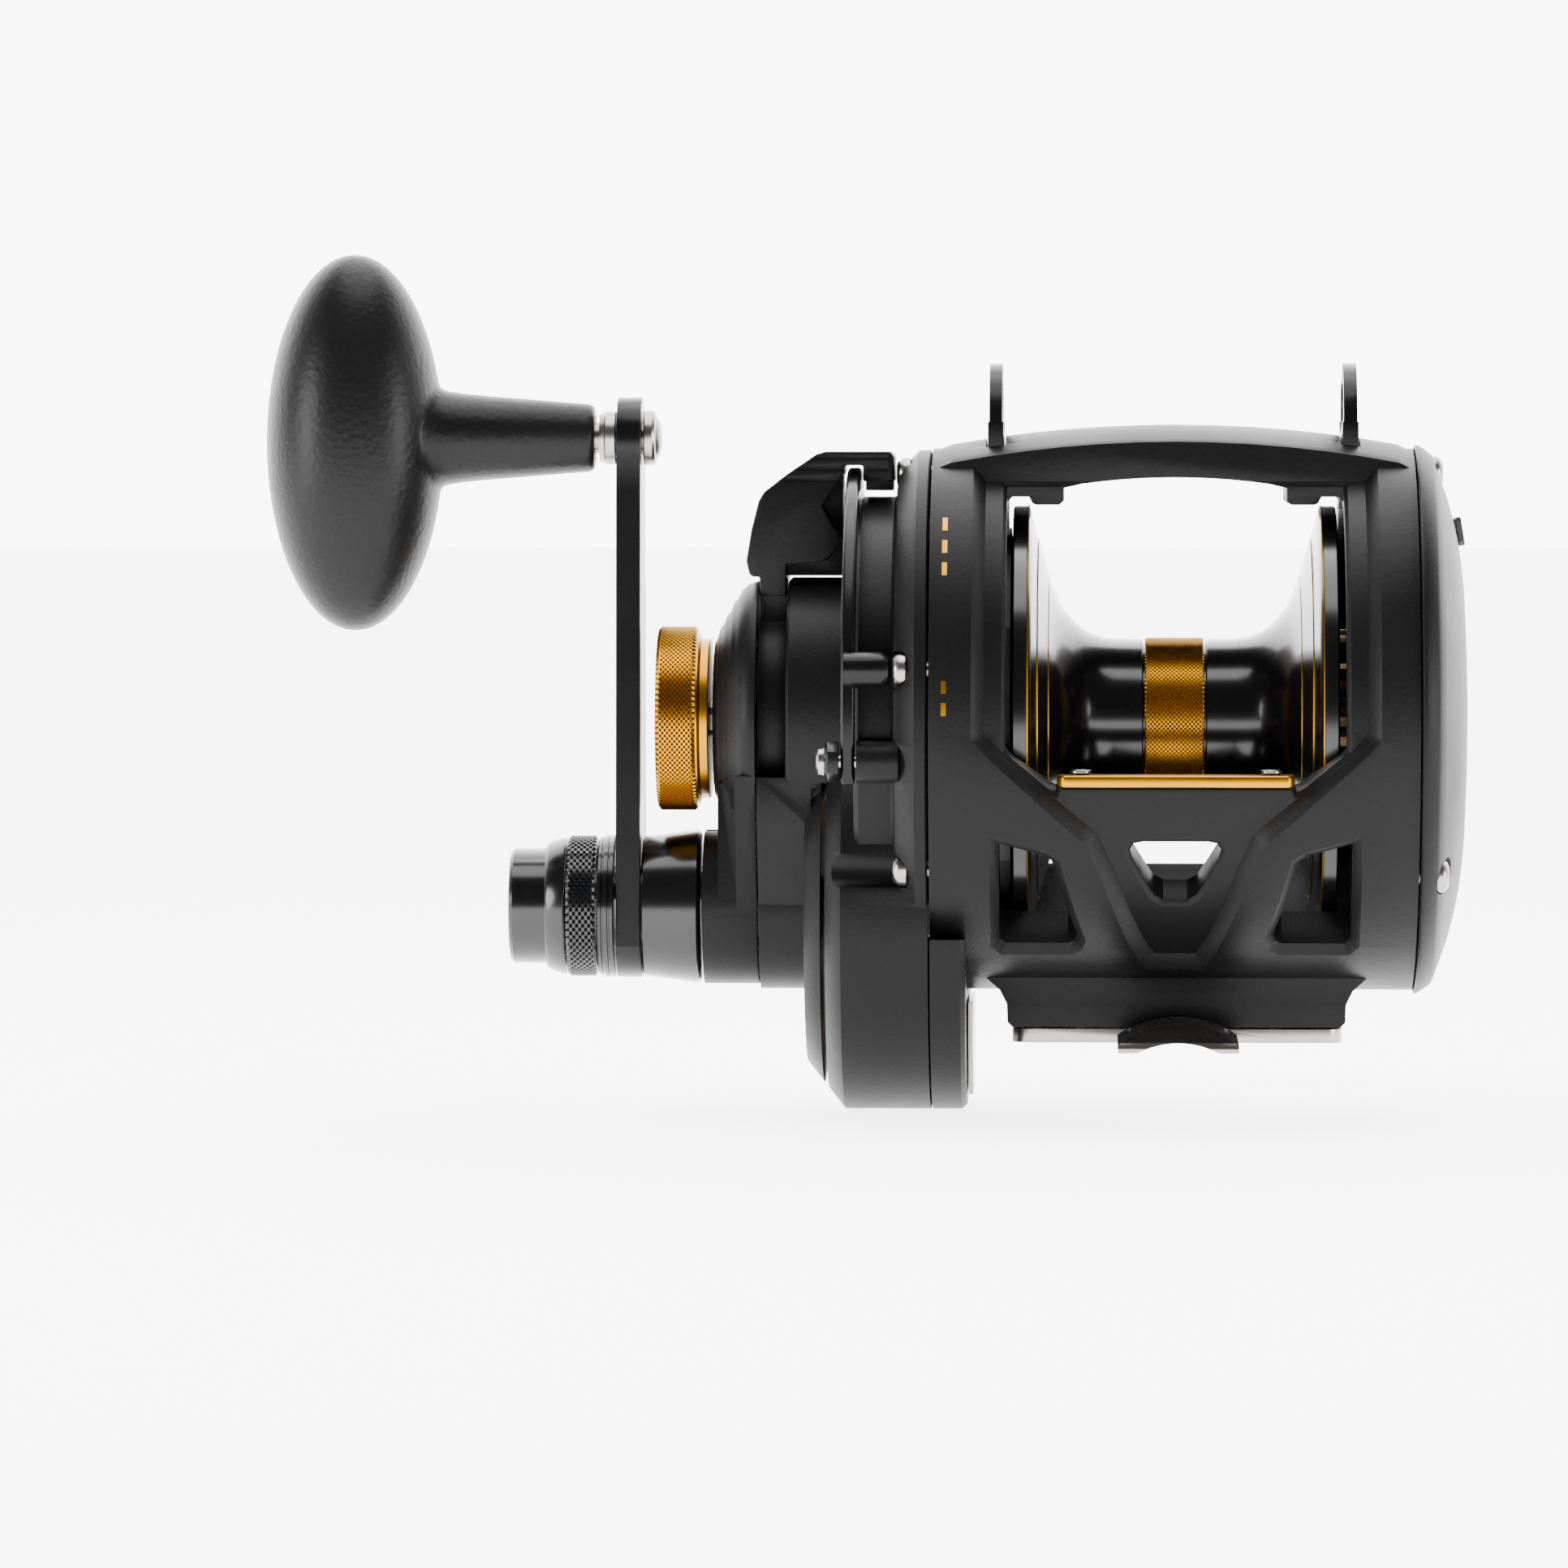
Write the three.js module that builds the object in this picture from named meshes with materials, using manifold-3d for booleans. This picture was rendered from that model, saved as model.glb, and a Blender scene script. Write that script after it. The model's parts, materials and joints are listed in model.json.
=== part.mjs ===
// A two-speed lever-drag trolling reel, in millimetres, +Z up.
// +X points to the tail plate, -X to the handle, -Y to the rod tip.
// The origin is on the crest of the foot's hollow underside.
import * as THREE from 'three';
import { mergeVertices } from 'three/addons/utils/BufferGeometryUtils.js';
import Module from 'manifold-3d';

const wasm = await Module();
wasm.setup();

// Driving dimensions. Heights named Z are measured from the spool axis.
const spoolHeight = 50;
const shaftDrop = 30.6;
const gap = 0.3;
const frameRadius = 43.9;
const frameBore = 36.5;
const frameLeft = -39.0;
const frameRight = 38.4;
const windowHalf = 27;
const archRadius = 47.8;
const archFront = -16;
const archBack = 14;
const flangeRadius = 34.6;
const flangeOuter = 26;
const arborRadius = 12.8;
const bandHalf = 4.75;
const shaftRadius = 3.0;
const caseRadius = 32.9;
const caseLeft = -59.3;
const ringLeft = -44.6;
const discRadius = 36.3;
const discLeft = -51.1;
const hubRadius = 23.0;
const hubLeft = -62.4;
const leverLeft = -67.0;
const coverLeft = -74.5;
const screwCircle = 40.2;
const armLength = 76.2;
const armLeft = -90.3;
const armRight = -86.4;
const highGearTeeth = 58;
const highPinionTeeth = 12;
const lowGearTeeth = 44;
const lowPinionTeeth = 19;
const roundFine = 36;
const roundMid = 24;
const roundSmall = 14;
const roundScrew = 10;

const finishes = {
  mouldedBlack: { color: 0x2c2b2c, roughness: 0.62, metalness: 0.0 },
  glossBlack: { color: 0x0c0c0d, roughness: 0.18, metalness: 0.6 },
  gold: { color: 0xd98e12, roughness: 0.3, metalness: 0.95 },
  steel: { color: 0xb9b6ae, roughness: 0.3, metalness: 1.0 },
  brass: { color: 0xb08d4a, roughness: 0.35, metalness: 1.0 },
  softGrip: { color: 0x2f2f31, roughness: 0.7, metalness: 0.0 },
  carbon: { color: 0x1b1b1c, roughness: 0.8, metalness: 0.0 },
};

const reel = new THREE.Group();
const spoolAxis = new THREE.Group();
spoolAxis.position.z = spoolHeight;
const handleAxis = new THREE.Group();
handleAxis.position.z = spoolHeight - shaftDrop;
reel.add(spoolAxis, handleAxis);

function addPiece(name, solid, finish, parent = spoolAxis) {
  const mesh = new THREE.Mesh(geometryOf(solid), new THREE.MeshStandardMaterial(finishes[finish]));
  mesh.name = name;
  parent.add(mesh);
  return mesh;
}

// Solids and geometries.
function solidOf(geometry) {
  const bare = geometry.clone();
  bare.deleteAttribute('normal');
  bare.deleteAttribute('uv');
  const merged = mergeVertices(bare, 1e-4);
  const index = merged.index.array;
  const triVerts = [];
  for (let i = 0; i < index.length; i += 3) {
    const [a, b, c] = [index[i], index[i + 1], index[i + 2]];
    if (a !== b && b !== c && c !== a) triVerts.push(a, b, c);
  }
  return new wasm.Manifold(new wasm.Mesh({
    numProp: 3,
    vertProperties: new Float32Array(merged.attributes.position.array),
    triVerts: new Uint32Array(triVerts),
  }));
}

function geometryOf(solid) {
  const mesh = solid.getMesh();
  const geometry = new THREE.BufferGeometry();
  geometry.setAttribute('position', new THREE.BufferAttribute(new Float32Array(mesh.vertProperties), 3));
  geometry.setIndex(new THREE.BufferAttribute(new Uint32Array(mesh.triVerts), 1));
  geometry.computeVertexNormals();
  return geometry;
}

// A turned solid about the X axis; each profile point is [x, radius], outside first.
function turned(profile, segments = roundMid, y = 0, z = 0) {
  const points = profile.map(([x, radius]) => new THREE.Vector2(radius, x));
  if (profile[0][1] > 0) points.push(points[0].clone());
  const geometry = new THREE.LatheGeometry(points, segments);
  geometry.rotateZ(-Math.PI / 2);
  geometry.translate(0, y, z);
  return solidOf(geometry);
}

function rod(x0, x1, radius, segments = roundSmall, y = 0, z = 0) {
  return turned([[x0, 0], [x0, radius], [x1, radius], [x1, 0]], segments, y, z);
}

function ring(x0, x1, inner, outer, segments = roundSmall, y = 0, z = 0) {
  return turned([[x0, inner], [x0, outer], [x1, outer], [x1, inner]], segments, y, z);
}

function shapeOf(points) {
  return new THREE.Shape(points.map(([u, v]) => new THREE.Vector2(u, v)));
}

// A plate standing across X, from an outline in (y, z).
function plateX(shape, x0, x1, curveSegments = 12) {
  const geometry = new THREE.ExtrudeGeometry(shape, { depth: x1 - x0, bevelEnabled: false, curveSegments });
  geometry.applyMatrix4(new THREE.Matrix4().set(0, 0, 1, x0, 1, 0, 0, 0, 0, 1, 0, 0, 0, 0, 0, 1));
  return solidOf(geometry);
}

// A plate standing across Y, from an outline in (x, z).
function plateY(shape, y0, y1) {
  const options = { depth: y1 - y0, bevelEnabled: false, curveSegments: 8 };
  const geometry = new THREE.ExtrudeGeometry(shape, options);
  geometry.rotateX(Math.PI / 2);
  geometry.translate(0, y1, 0);
  return solidOf(geometry);
}

function block(x0, x1, y0, y1, z0, z1) {
  const geometry = new THREE.BoxGeometry(x1 - x0, y1 - y0, z1 - z0);
  geometry.translate((x0 + x1) / 2, (y0 + y1) / 2, (z0 + z1) / 2);
  return solidOf(geometry);
}

// An upright round bar, as for a screw's shank.
function upright(x, y, z0, z1, radius, segments = 12) {
  const geometry = new THREE.CylinderGeometry(radius, radius, z1 - z0, segments);
  geometry.rotateX(Math.PI / 2);
  geometry.translate(x, y, (z0 + z1) / 2);
  return solidOf(geometry);
}

// A point on a circle about the spool axis; the turn is from straight up towards the front.
function around(radius, degrees) {
  const turn = THREE.MathUtils.degToRad(degrees);
  return [-radius * Math.sin(turn), radius * Math.cos(turn)];
}

// A spur gear outline in (y, z), with a tooth centred at the angle firstTooth (degrees).
function gearShape(teeth, module, firstTooth, bore) {
  const pitchRadius = teeth * module / 2;
  const tip = pitchRadius + 0.8 * module;
  const root = pitchRadius - 1.15 * module;
  const step = 2 * Math.PI / teeth;
  const points = [];
  for (let tooth = 0; tooth < teeth; tooth += 1) {
    const centre = THREE.MathUtils.degToRad(firstTooth) + tooth * step;
    for (const [radius, offset] of [[root, -0.27], [tip, -0.12], [tip, 0.12], [root, 0.27]]) {
      const angle = centre + offset * step;
      points.push([radius * Math.cos(angle), radius * Math.sin(angle)]);
    }
  }
  const shape = shapeOf(points);
  const hole = new THREE.Path();
  hole.absarc(0, 0, bore, 0, 2 * Math.PI, true);
  shape.holes.push(hole);
  return shape;
}

// A pan-head screw lying along X, its head outward on the side given by facing (-1 or +1).
function screwX(seatX, tipX, headRadius, headHeight, shankRadius, y, z) {
  const facing = Math.sign(seatX - tipX);
  const topX = seatX + facing * headHeight;
  const profile = [[topX, 0], [topX, headRadius * 0.6], [seatX + facing * headHeight * 0.45, headRadius],
    [seatX, headRadius], [seatX, shankRadius], [tipX, shankRadius], [tipX, 0]];
  if (facing > 0) profile.reverse();
  return turned(profile, roundScrew, y, z);
}

// The one-piece moulded frame: a tube with its windows cut out, a raised thumb arch and a pedestal.
const pedestalBottom = -49.1;
const pedestalHalf = 15.2;
const carrierBoss = 10.6;
const webTop = -9.6;

function frontWindow() {
  const outline = new THREE.Shape();
  outline.moveTo(-windowHalf, -3.5);
  outline.lineTo(-19.5, -11);
  outline.lineTo(-19.2, webTop);
  outline.lineTo(19.2, webTop);
  outline.lineTo(19.5, -11);
  outline.lineTo(windowHalf, -3.5);
  outline.lineTo(windowHalf, 36);
  outline.lineTo(25, 37.3);
  outline.quadraticCurveTo(0, 41, -25, 37.3);
  outline.lineTo(-windowHalf, 36);
  return plateY(outline, -60, 0);
}

function lowerSideWindow(side) {
  const points = [[28.2, -19.2], [20, -21.2], [19.4, -21.8], [15.7, -34.6], [16.6, -36.2], [27.4, -36.2],
    [28.2, -35]].map(([x, z]) => [side * x, z]);
  return plateY(shapeOf(points), -60, -14);
}

function middleWindow() {
  const points = [[-5.1, -19.3], [5.3, -19.3], [7.0, -21.1], [2.4, -29], [1.6, -29.5], [-1.8, -29.5],
    [-2.6, -29], [-7.0, -21.1]];
  return plateY(shapeOf(points), -60, -14);
}

function lugPocket(x0, x1) {
  return block(x0 - gap, x1 + gap, -11 - gap, 11 + gap, 39.6, 60);
}

const lugSides = { harness_lug_left: [-30.1, -27.6], harness_lug_right: [26.9, 29.5] };

function screwHoles(degrees, x0, x1, radius) {
  return degrees.map((turn) => rod(x0, x1, radius, roundScrew, ...around(screwCircle, turn)));
}

const gearScrewTurns = [8, 77, 124.5, -77];
const tailScrewTurns = [6, 126, -114];
const footScrewX = 19.5;
const quadrantBoltTurns = [98, -98];
const quadrantPostTurns = [77, -77];
const quadrantCircle = 39.2;

function makeFrame() {
  let solid = ring(frameLeft, frameRight, frameBore, frameRadius, roundFine);
  const archProfile = [[frameLeft + 0.5, 39.4], [frameLeft + 0.5, 44], [-26, 46.1], [-13, 47.4],
    [0, archRadius], [13, 47.4], [26, 46.1], [frameRight - 0.5, 44], [frameRight - 0.5, 39.4]];
  const arch = turned(archProfile, roundFine).intersect(block(-45, 45, archFront, archBack, 30, 60));
  solid = solid.subtract(frontWindow());
  solid = solid.subtract(block(-windowHalf, windowHalf, -60, archFront, 30, 60));
  solid = solid.add(arch);
  solid = solid.subtract(block(-windowHalf, windowHalf, archBack, 60, 9.5, 60));
  solid = solid.subtract(block(-windowHalf, windowHalf, 0, archBack + 0.1, 9.5, 38.4));
  solid = solid.subtract(block(-windowHalf, windowHalf, 0, 60, -30, -11.5));
  for (const side of [-1, 1]) solid = solid.subtract(lowerSideWindow(side));
  solid = solid.subtract(middleWindow());
  let pedestal = block(-26.8, 27.5, -pedestalHalf, pedestalHalf, pedestalBottom, -38);
  pedestal = pedestal.subtract(rod(-60, 60, frameBore + 3, roundFine));
  solid = solid.add(pedestal);
  for (const [x0, x1] of Object.values(lugSides)) solid = solid.subtract(lugPocket(x0, x1));
  solid = solid.subtract(rod(frameLeft - 1, -34.2, carrierBoss + gap, roundSmall, 0, -shaftDrop));
  for (const hole of screwHoles(gearScrewTurns, frameLeft - 1, frameLeft + 7, 1.5)) {
    solid = solid.subtract(hole);
  }
  for (const hole of screwHoles(tailScrewTurns, frameRight - 7, frameRight + 1, 1.5)) {
    solid = solid.subtract(hole);
  }
  for (const x of [-footScrewX, footScrewX]) {
    solid = solid.subtract(upright(x, 0, pedestalBottom - 1, -43.2, 1.7));
  }
  for (const x of [-15, 15]) solid = solid.subtract(upright(x, -39.5, -15, -8, 1.0, 12));
  return solid;
}
addPiece('frame', makeFrame(), 'mouldedBlack');

// The stainless foot: two flat wings with a saddle toe in front and behind, hollow underneath.
const wingTop = -49.4;
const wingBottom = -51.6;
const toeHalf = 9.6;
const toeReach = 38;
const saddleRadius = 14;
const saddleFacets = 20;

function makeFoot() {
  let solid = block(-26, 27, -pedestalHalf, pedestalHalf, wingBottom, wingTop);
  for (const side of [-1, 1]) {
    const points = [[14, wingBottom], [toeReach, wingBottom], [toeReach, -50.2], [36, -49.6], [16.4, -45.4],
      [15.6, -45.4], [15.6, wingTop], [14, wingTop]].map(([y, z]) => [side * y, z]);
    solid = solid.add(plateX(shapeOf(points), 0.5 - toeHalf, 0.5 + toeHalf));
  }
  const saddle = new THREE.CylinderGeometry(saddleRadius, saddleRadius, 2 * toeReach + 4, saddleFacets);
  const halfFacet = Math.PI / saddleFacets;
  saddle.rotateY(halfFacet);
  saddle.translate(0.5, 0, -spoolHeight - saddleRadius * Math.cos(halfFacet));
  solid = solid.subtract(solidOf(saddle));
  for (const x of [-footScrewX, footScrewX]) {
    solid = solid.subtract(upright(x, 0, wingBottom - 1, wingTop + 1, 1.7));
    solid = solid.subtract(upright(x, 0, wingBottom - 1, wingBottom + 1.2, 3.0));
  }
  return solid;
}
addPiece('foot', makeFoot(), 'steel');

function makeFootScrew(x) {
  const head = upright(x, 0, wingBottom + 0.1, wingBottom + 1.1, 2.8);
  return head.add(upright(x, 0, wingBottom + 1, -43.6, 1.45, 12));
}
addPiece('foot_screw_left', makeFootScrew(-footScrewX), 'steel');
addPiece('foot_screw_right', makeFootScrew(footScrewX), 'steel');

// The harness lugs: stainless straps with an eye, let into pockets at the arch's ends.
const lugTop = 57.7;
const lugHalf = 11;
const lugStep = 48.2;
const lugRelief = 0.2;
const eyeMiddle = 50.6;
const eyeRadius = 4.2;
const eyeSpread = 2.2;

function makeLug(x0, x1) {
  const outline = new THREE.Shape();
  const shoulder = lugTop - lugHalf;
  outline.moveTo(-lugHalf, 40);
  outline.lineTo(lugHalf, 40);
  outline.lineTo(lugHalf, shoulder);
  outline.absarc(0, shoulder, lugHalf, 0, Math.PI, false);
  outline.lineTo(-lugHalf, 40);
  const eye = new THREE.Path();
  eye.absarc(eyeSpread, eyeMiddle, eyeRadius, -Math.PI / 2, Math.PI / 2, false);
  eye.absarc(-eyeSpread, eyeMiddle, eyeRadius, Math.PI / 2, 1.5 * Math.PI, false);
  outline.holes.push(eye);
  let solid = plateX(outline, x0, x1, 8);
  for (const [low, high] of [[x0 - 1, x0 + lugRelief], [x1 - lugRelief, x1 + 1]]) {
    solid = solid.subtract(block(low, high, -lugHalf - 1, lugHalf + 1, lugStep, lugTop + 1));
  }
  return solid;
}
for (const [name, [x0, x1]] of Object.entries(lugSides)) addPiece(name, makeLug(x0, x1), 'glossBlack');

// The line guard, a gold bar on the front web's top edge, and its two screws.
function makeLineGuard() {
  let solid = block(-18.7, 18.7, -43.4, -37, webTop + gap, -7.4);
  for (const x of [-15, 15]) solid = solid.subtract(upright(x, -39.5, -12, -5, 1.0, 12));
  return solid;
}
addPiece('line_guard', makeLineGuard(), 'gold');
for (const [name, x] of [['line_guard_screw_left', -15], ['line_guard_screw_right', 15]]) {
  const head = upright(x, -39.5, -7.3, -6.6, 1.7, 12);
  addPiece(name, head.add(upright(x, -39.5, -13.5, -7.0, 0.8, 12)), 'steel');
}

// The tail side plate: a shallow dome with a bearing boss inside and a slot for the clicker.
const tailFace = frameRight + gap;
const clickerTurn = Math.atan2(46.3 - 44.9, 33.3 - 24.9);

function makeTailPlate() {
  const dome = [[tailFace, 0], [tailFace, 44.4], [38.9, 44.5], [41.4, 42.9], [44.9, 33.3], [46.3, 24.9],
    [47.0, 9.4], [47.2, 0]];
  let solid = turned(dome, roundFine);
  const hollow = [[tailFace - 1, 0], [tailFace - 1, 38.2], [40.4, 38.2], [42.7, 31.9], [44.1, 24.4],
    [44.9, 9.4], [45.1, 0]];
  solid = solid.subtract(turned(hollow, roundMid));
  solid = solid.add(ring(37, 45.6, 6.7, 8.6, roundSmall));
  solid = solid.subtract(block(40, 50, -3.1, 3.1, 22.4, 33.0));
  for (const hole of screwHoles(tailScrewTurns, 36, 50, 1.5)) solid = solid.subtract(hole);
  for (const turn of tailScrewTurns) {
    solid = solid.subtract(rod(41.3, 50, 3.0, 16, ...around(screwCircle, turn)));
  }
  return solid;
}
addPiece('tail_side_plate', makeTailPlate(), 'mouldedBlack');
tailScrewTurns.forEach((turn, i) => {
  const [y, z] = around(screwCircle, turn);
  addPiece(`tail_screw_${i + 1}`, screwX(41.4, 32.5, 2.7, 1.9, 1.3, y, z), 'steel');
});
addPiece('tail_bearing', ring(37.2, 41.2, shaftRadius + 0.2, 6.5, roundSmall), 'steel');

// The clicker: a button in a sloping slot, with the tongue that it pushes to the click gear.
const clicker = new THREE.Group();
clicker.position.set(45.35, 0, 30.4);
clicker.rotation.y = -clickerTurn;
spoolAxis.add(clicker);
const clickerCap = plateX(shapeOf([[-4.2, -2.3], [4.2, -2.3], [4.6, -1.6], [4.6, 1.6], [4.2, 2.3],
  [-4.2, 2.3], [-4.6, 1.6], [-4.6, -1.6]]), 0.35, 1.2);
addPiece('clicker_button', clickerCap.add(block(-3.6, 0.6, -2.7, 2.7, -2.1, 2.1)), 'glossBlack', clicker);
addPiece('click_tongue', block(-17.0, -3.9, -2.4, 2.4, -2.0, 0)
  .add(plateX(shapeOf([[-2.4, 0], [-0.7, -16.4], [0.7, -16.4], [2.4, 0]]), -17.2, -15.9)), 'steel', clicker);

// The gear-side plate: ring, disc, hub, gear case and shaft housing in one hollow moulding.
function makeGearPlate() {
  const outer = [[ringLeft, 0], [ringLeft, 40.3], [-41.3, 43.6], [-39.4, 43.6], [-39.3, 0]];
  let solid = turned(outer, roundFine);
  solid = solid.add(turned([[discLeft, 0], [discLeft, discRadius - 0.8], [discLeft + 0.8, discRadius],
    [ringLeft + 1, discRadius], [ringLeft + 1, 0]], roundFine));
  solid = solid.add(rod(hubLeft, discLeft + 1, hubRadius, roundMid));
  const caseProfile = [[caseLeft, 0], [caseLeft, 25.2], [-53.2, caseRadius], [-39.3, caseRadius],
    [-39.3, 0]];
  solid = solid.add(turned(caseProfile, roundFine, 0, -shaftDrop));
  const housing = plateX(shapeOf([[-20.5, -8.8], [20.5, -8.8], [20.5, -16], [13.4, -shaftDrop + 1],
    [-13.4, -shaftDrop + 1], [-20.5, -16]]), leverLeft, caseLeft + 1);
  solid = solid.add(housing);
  solid = solid.add(rod(leverLeft, caseLeft + 1, 13.4, roundMid, 0, -shaftDrop));
  for (const turn of quadrantBoltTurns) {
    solid = solid.add(rod(-50.4, ringLeft + 1, 3.4, 16, ...around(quadrantCircle, turn)));
    solid = solid.subtract(rod(-51, -41, 1.3, roundScrew, ...around(quadrantCircle, turn)));
  }
  // Room for the lever's hub and cam, the bearings, the gears and both shafts.
  solid = solid.subtract(rod(leverLeft - 1, hubLeft, 18.4, roundMid));
  solid = solid.subtract(rod(hubLeft - 1, -58.8, 14.8, roundSmall));
  solid = solid.subtract(rod(-70, -30, 5.6, roundSmall));
  solid = solid.subtract(rod(-56.8, -30, 10.3, roundSmall));
  solid = solid.subtract(rod(-49.6, -30, 33.6, roundMid));
  const gearPocket = rod(-56.6, -30, 29.6, roundMid, 0, -shaftDrop);
  solid = solid.subtract(gearPocket.subtract(rod(-57, -49.6, 13.0, roundSmall)));
  solid = solid.subtract(rod(-70, -30, 6.2, roundSmall, 0, -shaftDrop));
  for (const hole of screwHoles(gearScrewTurns, -60, -30, 1.5)) solid = solid.subtract(hole);
  for (const hole of screwHoles(gearScrewTurns, -60, -42.6, 3.0)) solid = solid.subtract(hole);
  return solid;
}
addPiece('gear_side_plate', makeGearPlate(), 'mouldedBlack');
gearScrewTurns.forEach((turn, i) => {
  const [y, z] = around(screwCircle, turn);
  addPiece(`gear_screw_${i + 1}`, screwX(-42.7, -33, 2.6, 2.2, 1.3, y, z), 'steel');
});
addPiece('hub_bearing', ring(-56.6, -52.4, shaftRadius + 0.3, 10.1, roundSmall), 'steel');

// The inner cover closes the part of the gear case that hangs beside the frame.
function makeInnerCover() {
  const solid = turned([[-39.0, 0], [-39.0, caseRadius], [-34.2, caseRadius], [-33.4, caseRadius - 0.8],
    [-33.4, 0]], roundFine, 0, -shaftDrop);
  const above = rod(-45, -30, frameRadius + 0.4, roundFine).add(block(-45, -30, -50, 50, -34, 50));
  return solid.subtract(above).subtract(rod(-45, -30, 1.5, 12, 0, coverScrewZ));
}
const coverScrewZ = -54;
addPiece('inner_cover', makeInnerCover(), 'mouldedBlack');

// The carrier plate stands in the frame's left ring and holds the gear shaft's inner bearing.
function makeBearingCarrier() {
  let solid = rod(-38.8, -34.6, 28.5, roundMid, 0, -shaftDrop);
  solid = solid.intersect(rod(-45, -30, frameBore - 0.4, roundFine));
  solid = solid.add(rod(-38.8, -34.6, carrierBoss, roundSmall, 0, -shaftDrop));
  solid = solid.subtract(rod(-45, -30, 13.5, roundMid));
  return solid.subtract(rod(-45, -30, 8.3, roundSmall, 0, -shaftDrop));
}
const wearOutline = [[-14, -45.4], [14, -45.4], [14, -52], [8, -60.6], [-8, -60.6], [-14, -52]];
addPiece('bearing_carrier', makeBearingCarrier(), 'steel');
addPiece('case_wear_plate', plateX(shapeOf(wearOutline), -33.1, -32.4), 'steel');

// The bridge cover: the stepped cap over the lever's hub and the handle's bearing boss.
const bossLeft = -76.2;
const coverRight = -67.3;

function makeBridgeCover() {
  const cap = [[coverLeft, 0], [coverLeft, 12.9], [-73.6, 14.9], [-72.4, 17.0], [-71.2, 19.2], [-70.2, 20.8],
    [-69.0, 21.9], [coverRight, 22.4], [coverRight, 0]];
  let solid = turned(cap, roundMid);
  solid = solid.add(rod(bossLeft, coverRight, 12.6, roundMid, 0, -shaftDrop));
  solid = solid.add(plateX(shapeOf([[-20.6, -8.6], [20.6, -8.6], [12.6, -shaftDrop], [-12.6, -shaftDrop]]),
    -70.6, coverRight));
  solid = solid.add(plateX(shapeOf([[-13, -10], [13, -10], [12.4, -shaftDrop], [-12.4, -shaftDrop]]),
    -73.6, coverRight));
  solid = solid.subtract(rod(-80, -60, 5.2, roundSmall));
  solid = solid.subtract(rod(-80, -60, 5.8, roundSmall, 0, -shaftDrop));
  solid = solid.subtract(rod(-75.6, -60, 9.3, roundSmall, 0, -shaftDrop));
  solid = solid.subtract(rod(-80, -72.5, 2.8, roundSmall, 0, bridgeScrewZ));
  return solid.subtract(rod(-80, -60, 1.5, 12, 0, bridgeScrewZ));
}
const bridgeScrewZ = -17.2;
addPiece('bridge_cover', makeBridgeCover(), 'mouldedBlack');
addPiece('bridge_screw', screwX(-72.7, -67.6, 2.4, 0.9, 1.3, 0, bridgeScrewZ), 'steel');

// The lever quadrant: a glossy arc on two posts and two bolts, which the lever's pad straddles.
const quadrantInner = 37.0;
const quadrantOuter = 40.8;
const quadrantLeft = -52.9;
const quadrantRight = -50.7;
const quadrantEnd = THREE.MathUtils.degToRad(103);

function makeQuadrant() {
  const arc = new THREE.Shape();
  arc.absarc(0, 0, quadrantOuter, Math.PI / 2 - quadrantEnd, Math.PI / 2 + quadrantEnd, false);
  arc.absarc(0, 0, quadrantInner, Math.PI / 2 + quadrantEnd, Math.PI / 2 - quadrantEnd, true);
  let solid = plateX(arc, quadrantLeft, quadrantRight, 20);
  for (const turn of quadrantPostTurns) {
    solid = solid.add(rod(quadrantLeft, -45.4, 2.9, roundSmall, ...around(screwCircle, turn)));
  }
  for (const turn of quadrantBoltTurns) {
    solid = solid.subtract(rod(-55, -49, 1.5, roundScrew, ...around(quadrantCircle, turn)));
  }
  return solid;
}
addPiece('lever_quadrant', makeQuadrant(), 'glossBlack');
quadrantBoltTurns.forEach((turn, i) => {
  const [y, z] = around(quadrantCircle, turn);
  addPiece(`quadrant_bolt_${i + 1}`, screwX(-53.2, -42.5, 3.0, 3.6, 1.1, y, z), 'steel');
});

// The drag lever: a hub disc, an arm and a thumb piece that straddles the quadrant; and its cam.
const thumbHalf = 8.2;
const thumbTop = 43.4;
const coreFront = -3;
const coreBack = 8;

function makeLever() {
  let solid = rod(leverLeft, hubLeft - gap, 17.8, roundMid);
  const thumb = [[-68.6, 23.0], [-69.2, 25.7], [-67.2, 35.4], [-66.3, 36.9], [-57.2, 43.0],
    [-56.2, thumbTop], [-45.9, thumbTop], [-45.3, 42.6], [-45.3, 38.6], [-50.3, 38.6], [-50.3, 41.2],
    [-53.4, 41.2], [-53.4, 40], [-56.9, 34.6], [-54.2, 28.6], [-56.9, 25.4], [hubLeft - gap, 25.4],
    [hubLeft - gap, 10], [leverLeft, 10], [leverLeft, 23.0]];
  solid = solid.add(plateY(shapeOf(thumb), -thumbHalf, thumbHalf));
  const coreLeft = hubLeft - gap;
  const coreRight = -53.7;
  const coreLow = hubRadius + gap;
  const core = [[coreLeft, coreLow], [coreLeft, 38.2], [-58.4, 41.2], [coreRight, 41.2],
    [coreRight, coreLow]];
  solid = solid.add(plateY(shapeOf(core), coreFront, coreBack));
  solid = solid.add(block(-50.0, -45.6, coreFront, coreBack, discRadius + 0.8, thumbTop - 4));
  return solid.subtract(rod(-70, -60, 5.0, roundSmall));
}
addPiece('lever', makeLever(), 'mouldedBlack');
function makeCam() {
  const cam = ring(-62.2, -59.1, 3.6, 14.4, roundMid);
  return cam.subtract(block(-59.9, -59, 2, 15, -15, 15).add(block(-59.9, -59, -15, -2, -15, 15)));
}
addPiece('lever_cam', makeCam(), 'steel');

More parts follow.
